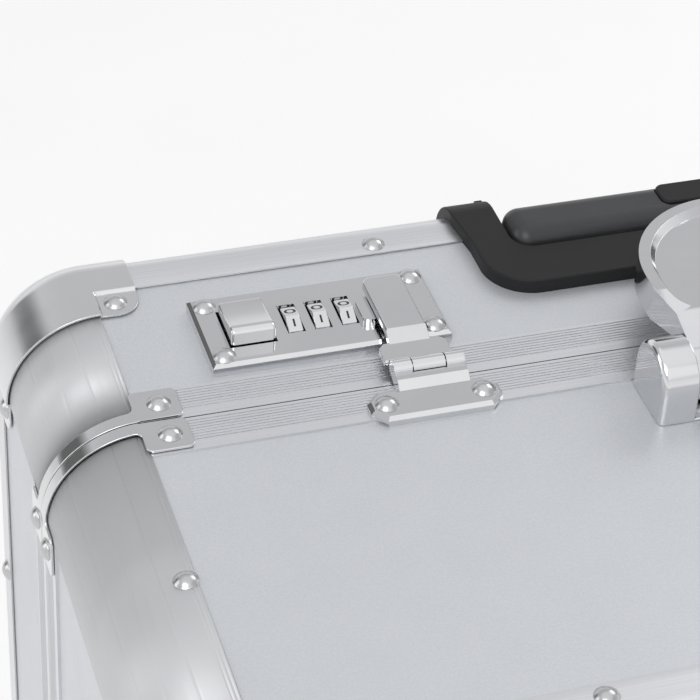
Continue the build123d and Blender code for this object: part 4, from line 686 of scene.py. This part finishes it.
def make_digits(hand, index):
    """The ten numerals of a dial, raised in black on its facets, and the dial's own edges rounded and shaded
    smooth.
    """
    node = f"{hand}_dial_{index}"
    low, high = box_of(node)
    centre = (low + high) / 2
    facet_turn = 2 * pi / FACETS
    reach = max((vert.co - centre).yz.length for vert in NODES[node].data.vertices)
    inner = reach * cos(facet_turn / 2)
    soften(node, 0.15 * MM)
    work = bmesh.new()
    for digit in range(FACETS):
        mesh = numeral_mesh(digit)
        xs = [vert.co.x for vert in mesh.vertices]
        ys = [vert.co.y for vert in mesh.vertices]
        wide, tall = max(xs) - min(xs), max(ys) - min(ys)
        mid = ((max(xs) + min(xs)) / 2, (max(ys) + min(ys)) / 2)
        scale_x = (ONE_W if digit == 1 else NUMERAL_W) / wide
        scale_y = NUMERAL_H / tall
        angle = ZERO_TURN - digit * facet_turn
        up = Vector((0, sin(angle), cos(angle)))
        back = Vector((0, cos(angle), -sin(angle)))
        for vert in mesh.vertices:
            u = (vert.co.x - mid[0]) * scale_x
            v = (vert.co.y - mid[1]) * scale_y
            spot = Vector((centre.x + u, centre.y, centre.z)) + back * v
            vert.co = spot + up * (inner + NUMERAL_RISE)
        work.from_mesh(mesh)
        bpy.data.meshes.remove(mesh)
    numerals = from_bmesh(f"{hand}_dial_{index}_numerals", work, MARK)
    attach(numerals, node)


# Room, light and camera

def ray_mask(n, kinds):
    """1 for the named kinds of ray, 0 for the others."""
    light_path = n.add("ShaderNodeLightPath").outputs
    mask = light_path[kinds[0]]
    for kind in kinds[1:]:
        mask = n.add("ShaderNodeMath", {0: mask, 1: light_path[kind]}, operation="MAXIMUM").outputs[0]
    return mask


SEEN = ("Is Camera Ray", "Is Glossy Ray", "Is Transmission Ray")


def make_floor():
    bpy.ops.mesh.primitive_plane_add(size=12.0, location=(0, 0, 0))
    floor = bpy.context.object
    floor.name = "floor"
    material, n = new_material("pale_floor")
    grain = n.noise((1, 1, 1), 6.0)
    diffuse = n.add(
        "ShaderNodeBsdfDiffuse", {"Color": n.mix(n.span(grain, 0, 1), (0.84, 0.84, 0.84), (0.86, 0.86, 0.86))}
    )
    glow = n.add("ShaderNodeEmission", {"Color": (1, 1, 1, 1), "Strength": 0.3})
    both = n.add("ShaderNodeAddShader", {0: diffuse.outputs[0], 1: glow.outputs[0]})
    shader = n.add("ShaderNodeMixShader", {0: ray_mask(n, SEEN), 1: diffuse.outputs[0], 2: both.outputs[0]})
    n.add("ShaderNodeOutputMaterial", {"Surface": shader.outputs[0]})
    floor.data.materials.append(material)


def make_studio():
    """A white room with a grey wall, a bright ceiling and pale and dark flags, which metal reflects."""
    world = bpy.data.worlds.new("studio")
    bpy.context.scene.world = world
    world.use_nodes = True
    n = Nodes(world.node_tree)
    direction = n.add("ShaderNodeTexCoord").outputs["Generated"]
    height = n.add("ShaderNodeSeparateXYZ", {0: direction}).outputs["Z"]
    ramp = n.add("ShaderNodeValToRGB", {"Fac": n.span(height, 0.0, 1.0, 0.0, 1.0)})
    stops = ramp.color_ramp.elements
    stops[0].position = 0.0
    stops[0].color = (1, 1, 1, 1)
    stops[1].position = 1.0
    stops[1].color = (1, 1, 1, 1)
    for position, value in ((0.22, 0.95), (0.40, 0.70), (0.70, 0.62), (0.78, 0.80), (0.84, 1.0)):
        stop = stops.new(position)
        stop.color = (value, value, value * 1.02, 1)
    colour = ramp.outputs["Color"]
    for heading, low, high, shade in FLAGS:
        # a flag: a patch of the room round a direction
        toward = Vector(heading).normalized()
        near = n.add("ShaderNodeVectorMath", {0: direction, 1: toward}, operation="DOT_PRODUCT")
        colour = n.mix(n.span(near.outputs["Value"], 0.0, 1.0, low, high), colour, (shade, shade, shade))
    soft = n.add("ShaderNodeBackground", {"Color": colour, "Strength": 1.0})
    level = n.add("ShaderNodeBackground", {"Color": (1, 1, 1, 1), "Strength": 0.54})
    shader = n.add("ShaderNodeMixShader", {0: ray_mask(n, SEEN), 1: level.outputs[0], 2: soft.outputs[0]})
    n.add("ShaderNodeOutputWorld", {"Surface": shader.outputs[0]})


# direction, cosines where it starts and is full, and brightness of the room's flags
FLAGS = (
    ((0.15, -0.75, 0.65), 0.90, 0.95, 1.08),
    ((-0.72, 0.66, 0.22), 0.94, 0.98, 0.16),
    ((0.75, 0.55, 0.35), 0.95, 0.965, 0.18),
)


def make_light(name, place, target, size, power):
    data = bpy.data.lights.new(name, "AREA")
    data.shape = "RECTANGLE"
    data.size, data.size_y = size
    data.energy = power
    light = bpy.data.objects.new(name, data)
    bpy.context.scene.collection.objects.link(light)
    light.location = place
    light.rotation_euler = (Vector(target) - Vector(place)).to_track_quat("-Z", "Y").to_euler()


def make_camera():
    """The photograph's own view, solved from the case's straight edges."""
    data = bpy.data.cameras.new("camera")
    data.sensor_width = 36.0
    data.lens = 133.76
    camera = bpy.data.objects.new("camera", data)
    bpy.context.scene.collection.objects.link(camera)
    right = Vector((0.9548, -0.2929, 0.0495))
    up = Vector((0.1466, 0.6095, 0.7791))
    back = Vector((-0.2584, -0.7367, 0.6249))
    turn = Matrix((right, up, back)).transposed().to_4x4()
    camera.matrix_world = Matrix.Translation((-0.3363, -0.5099, 0.8592)) @ turn
    bpy.context.scene.camera = camera


dress_frame()
for half in HALVES:
    make_caps(half)
    make_brackets(half)
    make_corner_profiles(half)
    make_rivets(half)
    soften(f"{half}_edge_profiles", 0)
for hand in ("left", "right"):
    make_button(hand)
    for index in (1, 2, 3):
        make_digits(hand, index)
    soften(f"{hand}_hasp", 0.35 * MM, 3)
soften("lock_plates", 0.3 * MM, 2)
soften("hasp_bases", 0.25 * MM, 2)
soften("carry_handle", 1.2 * MM, 4)
soften("handle_brackets", 0.5 * MM, 3)
soften("trolley_bezel", 0.4 * MM, 2)
soften("trolley_grip", 0.5 * MM, 2)
soften("trolley_button", 0.3 * MM, 2)

make_floor()
make_studio()
make_light("key", (-0.9, -1.1, 1.9), (0, 0, 0.3), (1.2, 1.0), 11)
make_light("rim", (1.3, 0.9, 1.5), (0, 0, 0.35), (0.9, 0.9), 6)
make_light("left", (-1.6, 0.5, 0.9), (0, 0, 0.3), (0.6, 1.2), 2.5)
make_camera()
bpy.context.scene.view_settings.view_transform = "Standard"
